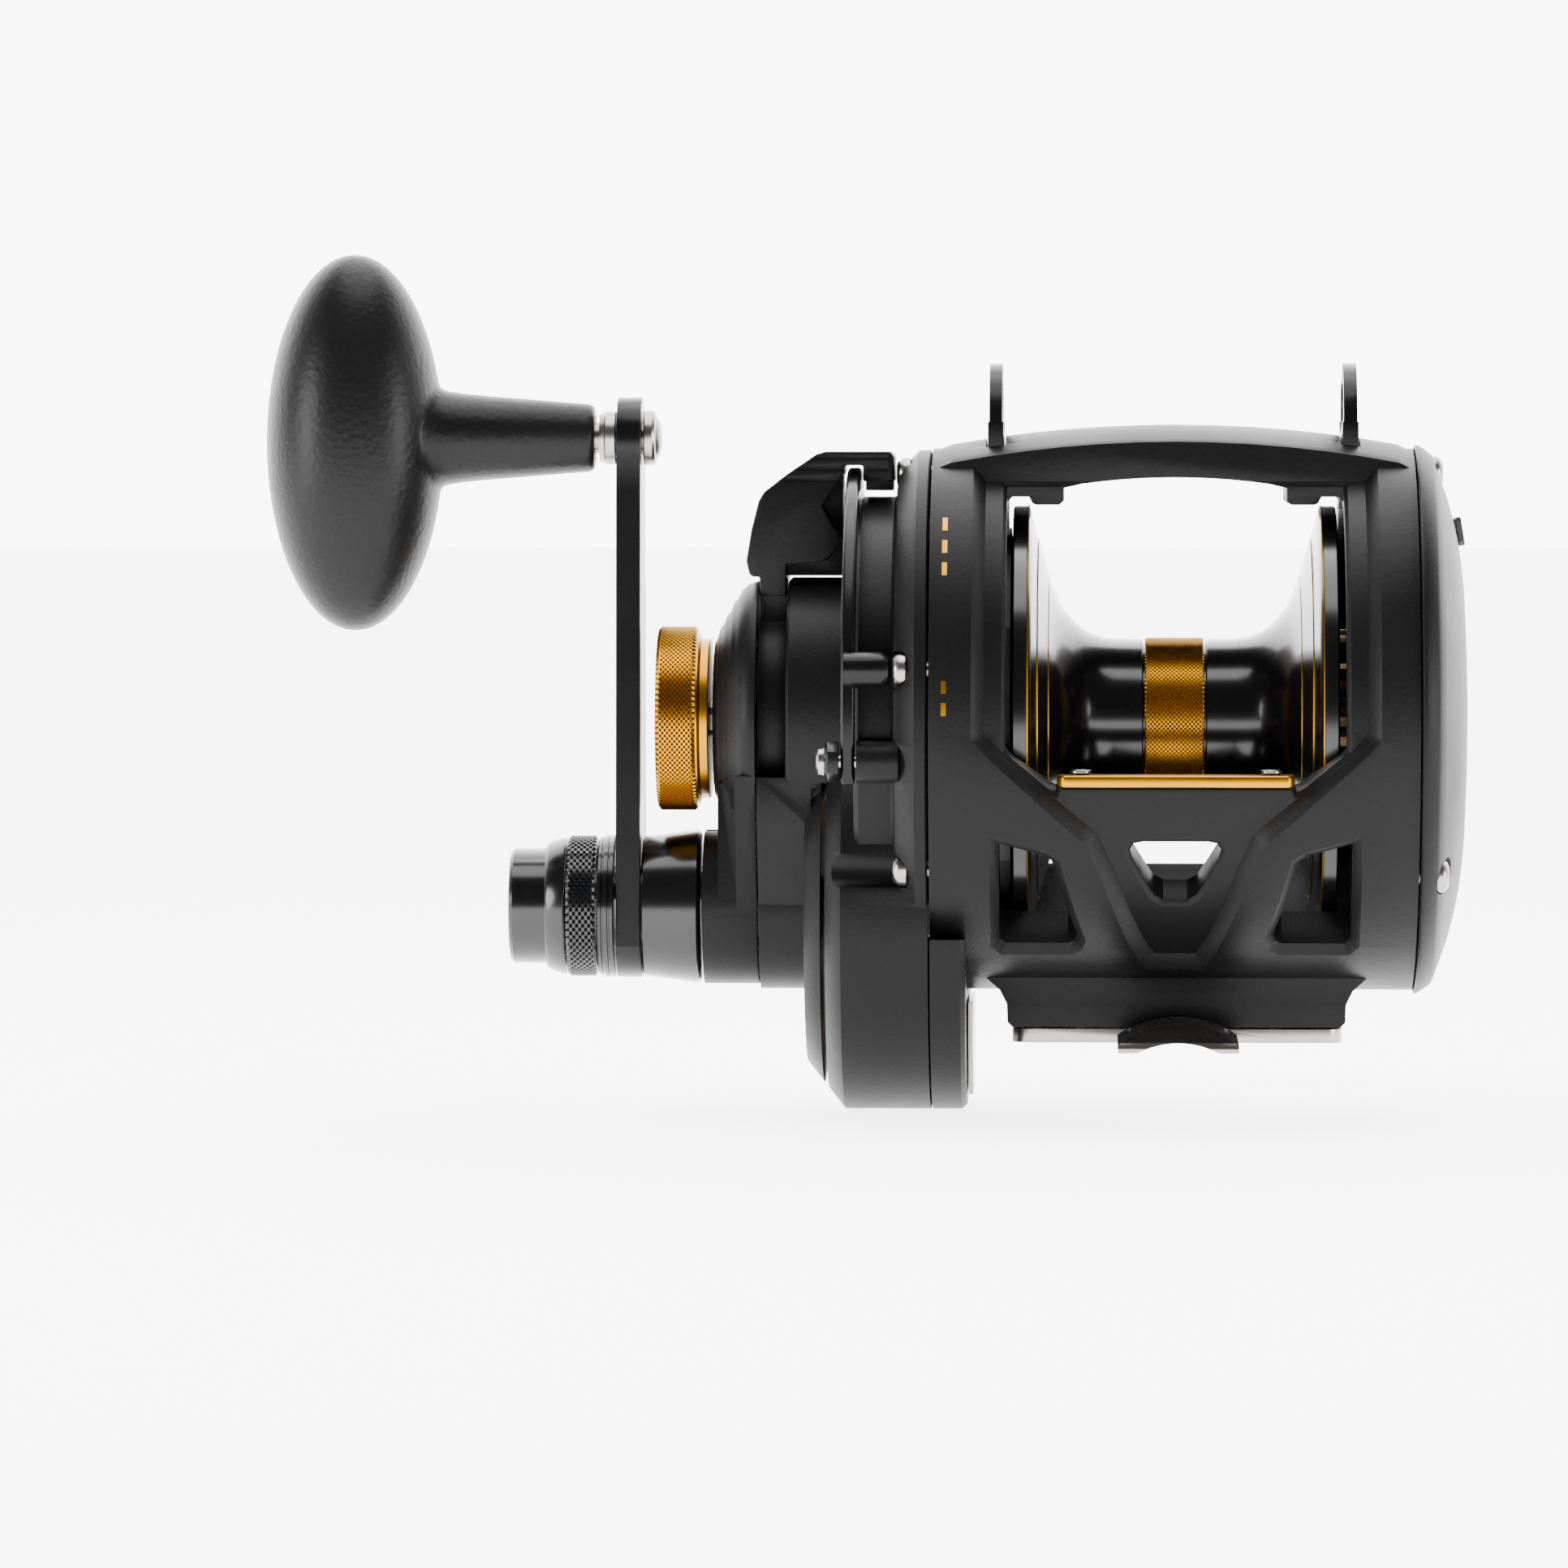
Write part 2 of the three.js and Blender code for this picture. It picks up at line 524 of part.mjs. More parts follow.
// The spool shaft slides a little as the cam pushes it; the preset knob is on its end.
addPiece('spool_shaft', rod(-82.6, 40.4, shaftRadius, roundSmall), 'steel');
function makePresetKnob() {
  const profile = [[-83.7, shaftRadius + 0.3], [-83.7, 13.6], [-82.7, 14.85], [-77.9, 14.85], [-76.8, 13.4],
    [-76.8, 13.0], [-75.2, 13.0], [-75.2, shaftRadius + 0.3]];
  return turned(profile, roundMid);
}
addPiece('preset_knob', makePresetKnob(), 'gold');

// The spool: two dished flanges and an arbor with a gold grip band in a groove.
function makeSpool() {
  const half = [[0, 12.2], [bandHalf + gap, 12.2], [bandHalf + gap, arborRadius], [9.8, 12.9], [13.5, 13.9],
    [16.4, 16.1], [18.5, 18.8], [20.2, 23.1], [22.0, 29.3], [23.4, flangeRadius],
    [flangeOuter, flangeRadius], [flangeOuter, 33.2], [24.4, 32.2], [22.8, 24], [19.7, 14.5], [18.2, 11],
    [18.2, 8.6], [12.4, 8.6], [12.4, 5.0], [0, 5.0]];
  const inward = half.slice(1, 11).reverse().map(([x, radius]) => [-x, radius]);
  const innerLeft = half.slice(11, 19).reverse().map(([x, radius]) => [-x, radius]);
  return turned([...innerLeft, ...inward, ...half.slice(1, 19)], roundMid);
}
addPiece('spool', makeSpool(), 'glossBlack');
addPiece('spool_band', ring(-bandHalf, bandHalf, 12.35, 13.0, roundFine), 'gold');
for (const [name, side] of [['spool_bearing_left', -1], ['spool_bearing_right', 1]]) {
  const ends = [side * 12.6, side * 17.6].sort((a, b) => a - b);
  addPiece(name, ring(ends[0], ends[1], shaftRadius + 0.3, 8.4, roundSmall), 'steel');
}
addPiece('drag_disc', ring(-28.0, -26.3, 12, 31, roundMid), 'carbon');
addPiece('click_gear', plateX(gearShape(24, 1.15, 90 + 7.5, 9), 26.3, 28.0), 'brass');

// The drive: a pressure plate on a sleeve, with the two pinions keyed to it.
function makeDrivePlate() {
  const profile = [[-39.8, 3.4], [-39.8, 8], [-31.6, 8], [-31.4, 31], [-29.0, 31], [-29.0, 3.4]];
  return turned(profile, roundMid);
}
addPiece('drive_plate', makeDrivePlate(), 'steel');
const highModule = 2 * shaftDrop / (highGearTeeth + highPinionTeeth);
const lowModule = 2 * shaftDrop / (lowGearTeeth + lowPinionTeeth);
const highSpan = [-49.4, -45.6];
const lowSpan = [-44.6, -40.6];
const highPinion = gearShape(highPinionTeeth, highModule, -90 + 180 / highPinionTeeth, shaftRadius + 0.3);
const lowPinion = gearShape(lowPinionTeeth, lowModule, -90 + 180 / lowPinionTeeth, shaftRadius + 0.3);
addPiece('high_pinion', plateX(highPinion, ...highSpan), 'brass');
addPiece('low_pinion', plateX(lowPinion, ...lowSpan), 'brass');

// On the gear shaft: the two main gears, the anti-reverse ratchet and the bearings.
const gearShaftRadius = 5.0;
addPiece('high_main_gear', plateX(gearShape(highGearTeeth, highModule, 90, gearShaftRadius + 0.3),
  ...highSpan), 'brass', handleAxis);
addPiece('low_main_gear', plateX(gearShape(lowGearTeeth, lowModule, 90, gearShaftRadius + 0.3),
  ...lowSpan), 'brass', handleAxis);
function makeRatchet() {
  const points = [];
  for (let tooth = 0; tooth < 12; tooth += 1) {
    const start = tooth * Math.PI / 6;
    points.push([13.5 * Math.cos(start), 13.5 * Math.sin(start)]);
    points.push([11 * Math.cos(start + 0.06), 11 * Math.sin(start + 0.06)]);
  }
  const shape = shapeOf(points);
  const hole = new THREE.Path();
  hole.absarc(0, 0, gearShaftRadius + 0.3, 0, 2 * Math.PI, true);
  shape.holes.push(hole);
  return plateX(shape, -54.4, -51.4);
}
addPiece('ratchet_wheel', makeRatchet(), 'steel', handleAxis);
addPiece('handle_bearing', ring(-75.3, -70.3, gearShaftRadius + 0.2, 9.1, roundSmall), 'steel', handleAxis);
addPiece('gear_shaft_bearing', ring(-38.6, -34.8, 4.3, 8.1, roundSmall), 'steel', handleAxis);
addPiece('anti_reverse_dog', plateX(shapeOf([[-16.4, -13.6], [-13.6, -16.2], [-6.4, -12.9], [-6.4, -14.6],
  [-13.2, -19.8], [-18.2, -17.6], [-18.6, -14.6]]), -54.2, -51.6), 'steel', handleAxis);

// The handle: shaft, conical collar, arm, knurled ring, cap and the shift button with its rod.
function makeGearShaft() {
  const profile = [[-97.6, 1.9], [-97.6, 6.4], [-76.6, 6.4], [-76.4, gearShaftRadius],
    [-39.2, gearShaftRadius], [-39.0, 4.0], [-34.6, 4.0], [-34.6, 1.9]];
  return turned(profile, roundSmall);
}
addPiece('gear_shaft', makeGearShaft(), 'steel', handleAxis);
const collarLeft = armRight + 0.2;
addPiece('handle_collar', turned([[collarLeft, 6.6], [collarLeft, 11.4], [-77.0, 12.5], [-76.7, 12.3],
  [-76.7, 6.6]], roundMid), 'glossBlack', handleAxis);

function makeHandleArm() {
  const arm = new THREE.Shape();
  arm.absarc(0, 0, 11.6, Math.PI + 0.55, 2 * Math.PI - 0.55, false);
  arm.lineTo(9.4, 14);
  arm.lineTo(7.6, armLength - 8);
  arm.absarc(0, armLength - 0.6, 7.2, -0.3, Math.PI + 0.3, false);
  arm.lineTo(-7.6, armLength - 8);
  arm.lineTo(-9.4, 14);
  return plateX(arm, armLeft, armRight, 10).subtract(rod(-95, -80, 6.7, roundSmall))
    .subtract(rod(-95, -80, 2.9, 16, 0, armLength));
}
addPiece('handle_arm', makeHandleArm(), 'glossBlack', handleAxis);
addPiece('arm_nut', turned([[-93.4, 6.6], [-93.4, 11.4], [-92.9, 11.6], [-90.6, 11.6],
  [-90.6, 6.6]], roundMid), 'glossBlack', handleAxis);
addPiece('shift_ring', turned([[-98.4, 9.9], [-98.4, 11.0], [-98.0, 11.4], [-94.1, 11.4], [-93.7, 11.0],
  [-93.7, 6.7], [-96.6, 6.7], [-96.6, 9.9]], roundMid), 'glossBlack', handleAxis);
addPiece('handle_cap', ring(-101.9, -98.7, 9.75, 10.8, roundMid), 'glossBlack', handleAxis);
addPiece('shift_button', turned([[-107.9, 0], [-107.9, 8.8], [-107.3, 9.4], [-101.6, 9.4], [-101.6, 1.6],
  [-52, 1.6], [-52, 0]], roundMid), 'glossBlack', handleAxis);

// The grip: an egg on a stem, turning on a spindle that is riveted through the arm.
const grip = new THREE.Group();
grip.position.set(0, 0, armLength);
handleAxis.add(grip);

function makeKnob() {
  const egg = new THREE.SphereGeometry(1, 20, 14);
  egg.scale(14.4, 15.0, 30.6);
  egg.translate(-133.3, 0, -0.8);
  const stem = turned([[-136, 0], [-136, 9], [-122.5, 9], [-119.6, 7.6], [-116, 7.0], [-94.4, 5.2],
    [-93.9, 4.7], [-93.9, 0]], roundSmall);
  return solidOf(egg).add(stem).subtract(rod(-126, -90, 3.6, roundSmall));
}
addPiece('knob_grip', makeKnob(), 'softGrip', grip);
addPiece('knob_bushing', ring(-100.2, -94.2, 2.8, 3.4, roundSmall), 'brass', grip);
addPiece('knob_spindle', turned([[-125.4, 0], [-125.4, 3.2], [-123.6, 3.2], [-123.6, 2.5], [-86.1, 2.5],
  [-86.1, 4.3], [-84.2, 4.3], [-84.0, 3.2], [-83.2, 1.4], [-83.2, 0]], roundSmall), 'steel', grip);
addPiece('spindle_washer', ring(-92.4, -90.6, 2.8, 4.3, roundSmall), 'steel', grip);

export default reel;
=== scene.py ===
# Looks for the two-speed lever-drag reel: finer pieces and finishes around its fixed frame.
import json
from math import acos, asin, atan2, cos, pi, radians, sin, sqrt

import bpy
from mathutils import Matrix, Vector


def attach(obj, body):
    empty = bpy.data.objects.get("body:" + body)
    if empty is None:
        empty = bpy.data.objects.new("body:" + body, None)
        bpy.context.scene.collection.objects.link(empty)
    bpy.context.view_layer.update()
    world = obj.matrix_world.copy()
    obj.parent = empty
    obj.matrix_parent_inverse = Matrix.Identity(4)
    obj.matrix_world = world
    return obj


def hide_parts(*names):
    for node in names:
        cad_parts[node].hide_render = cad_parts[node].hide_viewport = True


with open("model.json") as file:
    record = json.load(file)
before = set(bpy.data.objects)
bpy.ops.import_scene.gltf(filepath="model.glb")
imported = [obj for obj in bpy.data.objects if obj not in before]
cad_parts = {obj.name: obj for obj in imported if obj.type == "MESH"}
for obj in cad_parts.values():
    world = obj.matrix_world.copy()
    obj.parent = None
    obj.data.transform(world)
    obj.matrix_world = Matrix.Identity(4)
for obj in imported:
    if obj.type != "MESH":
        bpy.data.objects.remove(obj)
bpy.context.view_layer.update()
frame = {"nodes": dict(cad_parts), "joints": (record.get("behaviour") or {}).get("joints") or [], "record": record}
mm = 0.001
jointAt = {joint["name"]: joint for joint in frame["joints"]}
spoolZ = jointAt["spool_spin"]["pos_m"][2] / mm
crankZ = jointAt["handle_spin"]["pos_m"][2] / mm
gripZ = jointAt["grip_spin"]["pos_m"][2] / mm
shaftDrop = spoolZ - crankZ


def deselectAll():
    if bpy.context.object and bpy.context.object.mode != "OBJECT":
        bpy.ops.object.mode_set(mode="OBJECT")
    bpy.ops.object.select_all(action="DESELECT")


def makeActive(piece):
    deselectAll()
    piece.select_set(True)
    bpy.context.view_layer.objects.active = piece


def settle(piece):
    # Puts the place, turn and size into the mesh.
    makeActive(piece)
    bpy.ops.object.transform_apply(location=True, rotation=True, scale=True)
    return piece


def applyModifier(piece, kind, **settings):
    makeActive(piece)
    modifier = piece.modifiers.new(kind.lower(), kind)
    for key, value in settings.items():
        setattr(modifier, key, value)
    bpy.ops.object.modifier_apply(modifier=modifier.name)
    return piece


def rounded(piece, width=0.3, segments=2, angle=30):
    return applyModifier(piece, "BEVEL", width=width * mm, segments=segments, limit_method="ANGLE",
                         angle_limit=radians(angle), use_clamp_overlap=True, harden_normals=False)


def cleaned(piece, distance=0.002):
    makeActive(piece)
    bpy.ops.object.mode_set(mode="EDIT")
    bpy.ops.mesh.select_all(action="SELECT")
    bpy.ops.mesh.remove_doubles(threshold=distance * mm)
    bpy.ops.mesh.dissolve_degenerate(threshold=0.0005 * mm)
    bpy.ops.mesh.normals_make_consistent(inside=False)
    bpy.ops.object.mode_set(mode="OBJECT")
    return piece


def cutBy(piece, cutter, operation="DIFFERENCE"):
    applyModifier(piece, "BOOLEAN", object=cutter, operation=operation, solver="MANIFOLD")
    bpy.data.objects.remove(cutter, do_unlink=True)
    return piece


def joinTo(piece, other):
    return cutBy(piece, other, "UNION")


def smoothed(piece, angle=32):
    makeActive(piece)
    bpy.ops.object.shade_smooth_by_angle(angle=radians(angle))
    return piece


def spunPiece(name, profile, steps=96, y=0, z=spoolZ):
    # A vertex is drawn along the profile of (x, radius), then spun about the X line through y and z.
    deselectAll()
    startX, startRadius = profile[0]
    bpy.ops.mesh.primitive_plane_add(size=0.1 * mm, location=(startX * mm, y * mm, (z + startRadius) * mm))
    piece = bpy.context.object
    piece.name = name
    settle(piece)
    bpy.ops.object.mode_set(mode="EDIT")
    bpy.ops.mesh.select_mode(type="VERT")
    bpy.ops.mesh.select_all(action="SELECT")
    bpy.ops.mesh.merge(type="CENTER")
    outline = list(profile[1:])
    if startRadius > 0:
        outline.append(profile[0])
    lastX, lastRadius = startX, startRadius
    for x, radius in outline:
        step = ((x - lastX) * mm, 0, (radius - lastRadius) * mm)
        bpy.ops.mesh.extrude_region_move(TRANSFORM_OT_translate={"value": step})
        lastX, lastRadius = x, radius
    bpy.ops.mesh.select_all(action="SELECT")
    bpy.ops.mesh.spin(steps=steps, angle=2 * pi, center=(0, y * mm, z * mm), axis=(1, 0, 0))
    bpy.ops.object.mode_set(mode="OBJECT")
    return cleaned(piece)


def platePiece(name, outline, axis, low, high, centre=(0, 0)):
    # An outline drawn vertex by vertex, filled, and pulled out along the axis.
    # "x" outlines are (y, z), "y" outlines (x, z) and "z" outlines (x, y).
    def place(u, v):
        u, v = (u + centre[0]) * mm, (v + centre[1]) * mm
        return {"x": (low * mm, u, v), "y": (u, low * mm, v), "z": (u, v, low * mm)}[axis]

    deselectAll()
    first = place(*outline[0])
    bpy.ops.mesh.primitive_plane_add(size=0.1 * mm, location=first)
    piece = bpy.context.object
    piece.name = name
    settle(piece)
    bpy.ops.object.mode_set(mode="EDIT")
    bpy.ops.mesh.select_mode(type="VERT")
    bpy.ops.mesh.select_all(action="SELECT")
    bpy.ops.mesh.merge(type="CENTER")
    last = Vector(first)
    for u, v in outline[1:]:
        point = Vector(place(u, v))
        bpy.ops.mesh.extrude_region_move(TRANSFORM_OT_translate={"value": tuple(point - last)})
        last = point
    bpy.ops.mesh.select_all(action="SELECT")
    bpy.ops.mesh.edge_face_add()
    bpy.ops.mesh.select_all(action="SELECT")
    depth = (high - low) * mm
    pull = {"x": (depth, 0, 0), "y": (0, depth, 0), "z": (0, 0, depth)}[axis]
    bpy.ops.mesh.extrude_region_move(TRANSFORM_OT_translate={"value": pull})
    bpy.ops.object.mode_set(mode="OBJECT")
    return cleaned(piece)


def blockPiece(name, low, high):
    deselectAll()
    middle = [(a + b) / 2 * mm for a, b in zip(low, high)]
    bpy.ops.mesh.primitive_cube_add(size=1, location=middle)
    piece = bpy.context.object
    piece.name = name
    piece.scale = [(b - a) * mm for a, b in zip(low, high)]
    return settle(piece)


def rodPiece(name, low, high, radius, steps=48, y=0, z=spoolZ):
    return spunPiece(name, [(low, 0), (low, radius), (high, radius), (high, 0)], steps, y, z)


def cylinderPiece(name, radius, depth, place, steps=40, turn=(0, 0, 0)):
    deselectAll()
    bpy.ops.mesh.primitive_cylinder_add(vertices=steps, radius=radius * mm, depth=depth * mm,
                                        location=[c * mm for c in place], rotation=turn)
    piece = bpy.context.object
    piece.name = name
    return settle(piece)


def arcPoints(centreU, centreV, radius, start, end, count):
    turns = [radians(start + (end - start) * i / count) for i in range(count + 1)]
    return [(centreU + radius * cos(turn), centreV + radius * sin(turn)) for turn in turns]


def roundedBox(left, right, low, high, corner):
    return (arcPoints(right - corner, high - corner, corner, 0, 90, 4)
            + arcPoints(left + corner, high - corner, corner, 90, 180, 4)
            + arcPoints(left + corner, low + corner, corner, 180, 270, 4)
            + arcPoints(right - corner, low + corner, corner, 270, 360, 4))


def aroundSpool(radius, turn):
    # The turn is from straight up towards the front.
    return -radius * sin(radians(turn)), radius * cos(radians(turn))


def placed(piece, body, slot, material, *nodes):
    piece.data.materials.clear()
    piece.data.materials.append(material)
    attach(piece, body)
    if nodes:
        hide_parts(*nodes)
    return piece


def newMaterial(name):
    material = bpy.data.materials.new(name)
    material.use_nodes = True
    return material, material.node_tree.nodes, material.node_tree.links


def makeGroup(name, inputs, outputs):
    group = bpy.data.node_groups.new(name, "ShaderNodeTree")
    for label, kind, value in inputs:
        socket = group.interface.new_socket(label, in_out="INPUT", socket_type=kind)
        if value is not None:
            socket.default_value = value
    for label, kind in outputs:
        group.interface.new_socket(label, in_out="OUTPUT", socket_type=kind)
    entry = group.nodes.new("NodeGroupInput")
    leave = group.nodes.new("NodeGroupOutput")
    return group, entry, leave


def makeGrainGroup():
    # Fine pebbled grain for mouldings, with faint handling marks in the roughness.
    group, entry, leave = makeGroup(
        "surfaceGrain",
        [("Vector", "NodeSocketVector", None), ("Scale", "NodeSocketFloat", 1500.0),
         ("Base Roughness", "NodeSocketFloat", 0.5), ("Roughness Spread", "NodeSocketFloat", 0.1)],
        [("Height", "NodeSocketFloat"), ("Roughness", "NodeSocketFloat"), ("Tone", "NodeSocketFloat")])
    nodes, links = group.nodes, group.links
    pebbles = nodes.new("ShaderNodeTexVoronoi")
    fine = nodes.new("ShaderNodeTexNoise")
    broad = nodes.new("ShaderNodeTexNoise")
    fine.inputs["Detail"].default_value = 4
    broad.inputs["Scale"].default_value = 70
    broad.inputs["Detail"].default_value = 5
    for texture in (pebbles, fine, broad):
        links.new(entry.outputs["Vector"], texture.inputs["Vector"])
    links.new(entry.outputs["Scale"], pebbles.inputs["Scale"])
    links.new(entry.outputs["Scale"], fine.inputs["Scale"])
    mixHeight = nodes.new("ShaderNodeMath")
    mixHeight.operation = "ADD"
    links.new(pebbles.outputs["Distance"], mixHeight.inputs[0])
    links.new(fine.outputs["Fac"], mixHeight.inputs[1])
    links.new(mixHeight.outputs[0], leave.inputs["Height"])
    centred = nodes.new("ShaderNodeMath")
    centred.operation = "SUBTRACT"
    centred.inputs[1].default_value = 0.5
    links.new(broad.outputs["Fac"], centred.inputs[0])
    spread = nodes.new("ShaderNodeMath")
    spread.operation = "MULTIPLY_ADD"
    links.new(centred.outputs[0], spread.inputs[0])
    links.new(entry.outputs["Roughness Spread"], spread.inputs[1])
    links.new(entry.outputs["Base Roughness"], spread.inputs[2])
    links.new(spread.outputs[0], leave.inputs["Roughness"])
    tone = nodes.new("ShaderNodeMath")
    tone.operation = "MULTIPLY_ADD"
    tone.inputs[1].default_value = 0.35
    tone.inputs[2].default_value = 1.0
    links.new(centred.outputs[0], tone.inputs[0])
    links.new(tone.outputs[0], leave.inputs["Tone"])
    return group


def makeTurnedGroup():
    # Fine rings left by the lathe, about the line through a piece's axis.
    group, entry, leave = makeGroup(
        "turnedRings",
        [("Vector", "NodeSocketVector", None), ("Rings", "NodeSocketFloat", 2500.0),
         ("Base Roughness", "NodeSocketFloat", 0.2), ("Roughness Spread", "NodeSocketFloat", 0.08)],
        [("Height", "NodeSocketFloat"), ("Roughness", "NodeSocketFloat")])
    nodes, links = group.nodes, group.links
    split = nodes.new("ShaderNodeSeparateXYZ")
    links.new(entry.outputs["Vector"], split.inputs[0])
    rings = nodes.new("ShaderNodeTexNoise")
    rings.noise_dimensions = "1D"
    rings.inputs["Detail"].default_value = 3
    links.new(split.outputs["X"], rings.inputs["W"])
    links.new(entry.outputs["Rings"], rings.inputs["Scale"])
    links.new(rings.outputs["Fac"], leave.inputs["Height"])
    smudge = nodes.new("ShaderNodeTexNoise")
    smudge.inputs["Scale"].default_value = 90
    smudge.inputs["Detail"].default_value = 4
    links.new(entry.outputs["Vector"], smudge.inputs["Vector"])
    centred = nodes.new("ShaderNodeMath")
    centred.operation = "SUBTRACT"
    centred.inputs[1].default_value = 0.5
    links.new(smudge.outputs["Fac"], centred.inputs[0])
    spread = nodes.new("ShaderNodeMath")
    spread.operation = "MULTIPLY_ADD"
    links.new(centred.outputs[0], spread.inputs[0])
    links.new(entry.outputs["Roughness Spread"], spread.inputs[1])
    links.new(entry.outputs["Base Roughness"], spread.inputs[2])
    links.new(spread.outputs[0], leave.inputs["Roughness"])
    return group


grainGroup = makeGrainGroup()
turnedGroup = makeTurnedGroup()


def makeGrainMaterial(name, settings):
    material, nodes, links = newMaterial(name)
    shader = nodes["Principled BSDF"]
    shader.inputs["Specular IOR Level"].default_value = settings.get("specular", 0.5)
    shader.inputs["Coat Weight"].default_value = settings.get("coat", 0.0)
    shader.inputs["Metallic"].default_value = settings.get("metallic", 0.0)
    place = nodes.new("ShaderNodeTexCoord")
    grain = nodes.new("ShaderNodeGroup")
    grain.node_tree = grainGroup
    grain.inputs["Scale"].default_value = settings["scale"]
    grain.inputs["Base Roughness"].default_value = settings["roughness"]
    grain.inputs["Roughness Spread"].default_value = settings["spread"]
    links.new(place.outputs["Object"], grain.inputs["Vector"])
    links.new(grain.outputs["Roughness"], shader.inputs["Roughness"])
    shade = nodes.new("ShaderNodeMix")
    shade.data_type = "RGBA"
    shade.blend_type = "MULTIPLY"
    shade.inputs["Factor"].default_value = 1.0
    shade.inputs["A"].default_value = (*settings["colour"], 1)
    links.new(grain.outputs["Tone"], shade.inputs["B"])
    links.new(shade.outputs["Result"], shader.inputs["Base Color"])
    bump = nodes.new("ShaderNodeBump")
    bump.inputs["Strength"].default_value = settings["bump"]
    bump.inputs["Distance"].default_value = settings.get("distance", 0.02) * mm
    links.new(grain.outputs["Height"], bump.inputs["Height"])
    links.new(bump.outputs["Normal"], shader.inputs["Normal"])
    return material


def makeTurnedMaterial(name, settings):
    material, nodes, links = newMaterial(name)
    shader = nodes["Principled BSDF"]
    shader.inputs["Base Color"].default_value = (*settings["colour"], 1)
    shader.inputs["Metallic"].default_value = settings["metallic"]
    shader.inputs["Specular IOR Level"].default_value = settings.get("specular", 0.5)
    shader.inputs["Coat Weight"].default_value = settings.get("coat", 0.0)
    shader.inputs["Coat Roughness"].default_value = settings.get("coatRoughness", 0.05)
    place = nodes.new("ShaderNodeTexCoord")
    rings = nodes.new("ShaderNodeGroup")
    rings.node_tree = turnedGroup
    rings.inputs["Rings"].default_value = settings["rings"]
    rings.inputs["Base Roughness"].default_value = settings["roughness"]
    rings.inputs["Roughness Spread"].default_value = settings["spread"]
    links.new(place.outputs["Object"], rings.inputs["Vector"])
    links.new(rings.outputs["Roughness"], shader.inputs["Roughness"])
    bump = nodes.new("ShaderNodeBump")
    bump.inputs["Strength"].default_value = settings["bump"]
    bump.inputs["Distance"].default_value = 0.01 * mm
    links.new(rings.outputs["Height"], bump.inputs["Height"])
    links.new(bump.outputs["Normal"], shader.inputs["Normal"])
    return material


mouldedBlack = makeGrainMaterial("mouldedBlack", {
    "colour": (0.0028, 0.0027, 0.0028), "scale": 1700, "roughness": 0.42, "spread": 0.14, "bump": 0.5,
    "specular": 0.09, "distance": 0.03})
softGrip = makeGrainMaterial("softGrip", {
    "colour": (0.0028, 0.0028, 0.003), "scale": 950, "roughness": 0.36, "spread": 0.1, "bump": 0.7,
    "specular": 0.12, "distance": 0.05})
satinBlack = makeGrainMaterial("satinBlack", {
    "colour": (0.002, 0.002, 0.0022), "scale": 2500, "roughness": 0.25, "spread": 0.1, "bump": 0.12,
    "specular": 0.14})
glossBlack = makeTurnedMaterial("glossBlack", {
    "colour": (0.002, 0.002, 0.0024), "metallic": 0.0, "rings": 4000, "roughness": 0.2, "spread": 0.08,
    "bump": 0.1, "coat": 0.06, "coatRoughness": 0.12, "specular": 0.35})
goldAnodised = makeTurnedMaterial("goldAnodised", {
    "colour": (0.33, 0.148, 0.0016), "metallic": 1.0, "rings": 5000, "roughness": 0.3, "spread": 0.1,
    "bump": 0.2})
stainless = makeTurnedMaterial("stainless", {
    "colour": (0.24, 0.23, 0.215), "metallic": 1.0, "rings": 6000, "roughness": 0.28, "spread": 0.14,
    "bump": 0.3})
bronze = makeTurnedMaterial("bronze", {
    "colour": (0.24, 0.16, 0.07), "metallic": 1.0, "rings": 6000, "roughness": 0.3, "spread": 0.12,
    "bump": 0.3})
dragCarbon = makeGrainMaterial("dragCarbon", {
    "colour": (0.012, 0.012, 0.013), "scale": 700, "roughness": 0.55, "spread": 0.2, "bump": 0.6})
print("finishes made")


studio = {"camera": (-11, -1324, 98), "target": (-63.4, 0, 39.3), "lens": 187, "sensor": 36,
          "floor": -13.6, "floorSize": 12, "floorShade": 0.86,
          "dim": 0.12, "bright": 9.0, "dimFrom": -0.2, "brightFrom": 0.8, "floorGlow": 4.4,
          "lights": (("leftLight", (-900, -420, 200), (-40, 0, 50), 9, 420),
                     ("rightLight", (900, -420, 200), (-10, 0, 50), 8, 420),
                     ("topLight", (-40, -60, 900), (-40, 0, 0), 12, 800))}


def makeStudio():
    deselectAll()
    cameraPlace = Vector(studio["camera"]) * mm
    bpy.ops.object.camera_add(location=cameraPlace)
    camera = bpy.context.object
    camera.name = "camera"
    camera.data.lens = studio["lens"]
    camera.data.sensor_width = studio["sensor"]
    camera.data.clip_start = 0.05
    aim = Vector(studio["target"]) * mm - cameraPlace
    camera.rotation_euler = aim.to_track_quat("-Z", "Y").to_euler()
    bpy.context.scene.camera = camera
    bpy.ops.mesh.primitive_plane_add(size=studio["floorSize"], location=(0, 0, studio["floor"] * mm))
    floor = bpy.context.object
    floor.name = "floor"
    material, nodes, links = newMaterial("paleFloor")
    shader = nodes["Principled BSDF"]
    shader.inputs["Base Color"].default_value = (*[studio["floorShade"]] * 3, 1)
    shader.inputs["Roughness"].default_value = 0.9
    shader.inputs["Specular IOR Level"].default_value = 0.1
    shader.inputs["Emission Color"].default_value = (1, 1, 1, 1)
    shader.inputs["Emission Strength"].default_value = studio["floorGlow"]
    floor.data.materials.append(material)
    makeWorld()
    for name, place, target, power, size in studio["lights"]:
        addLight(name, place, target, power, size)


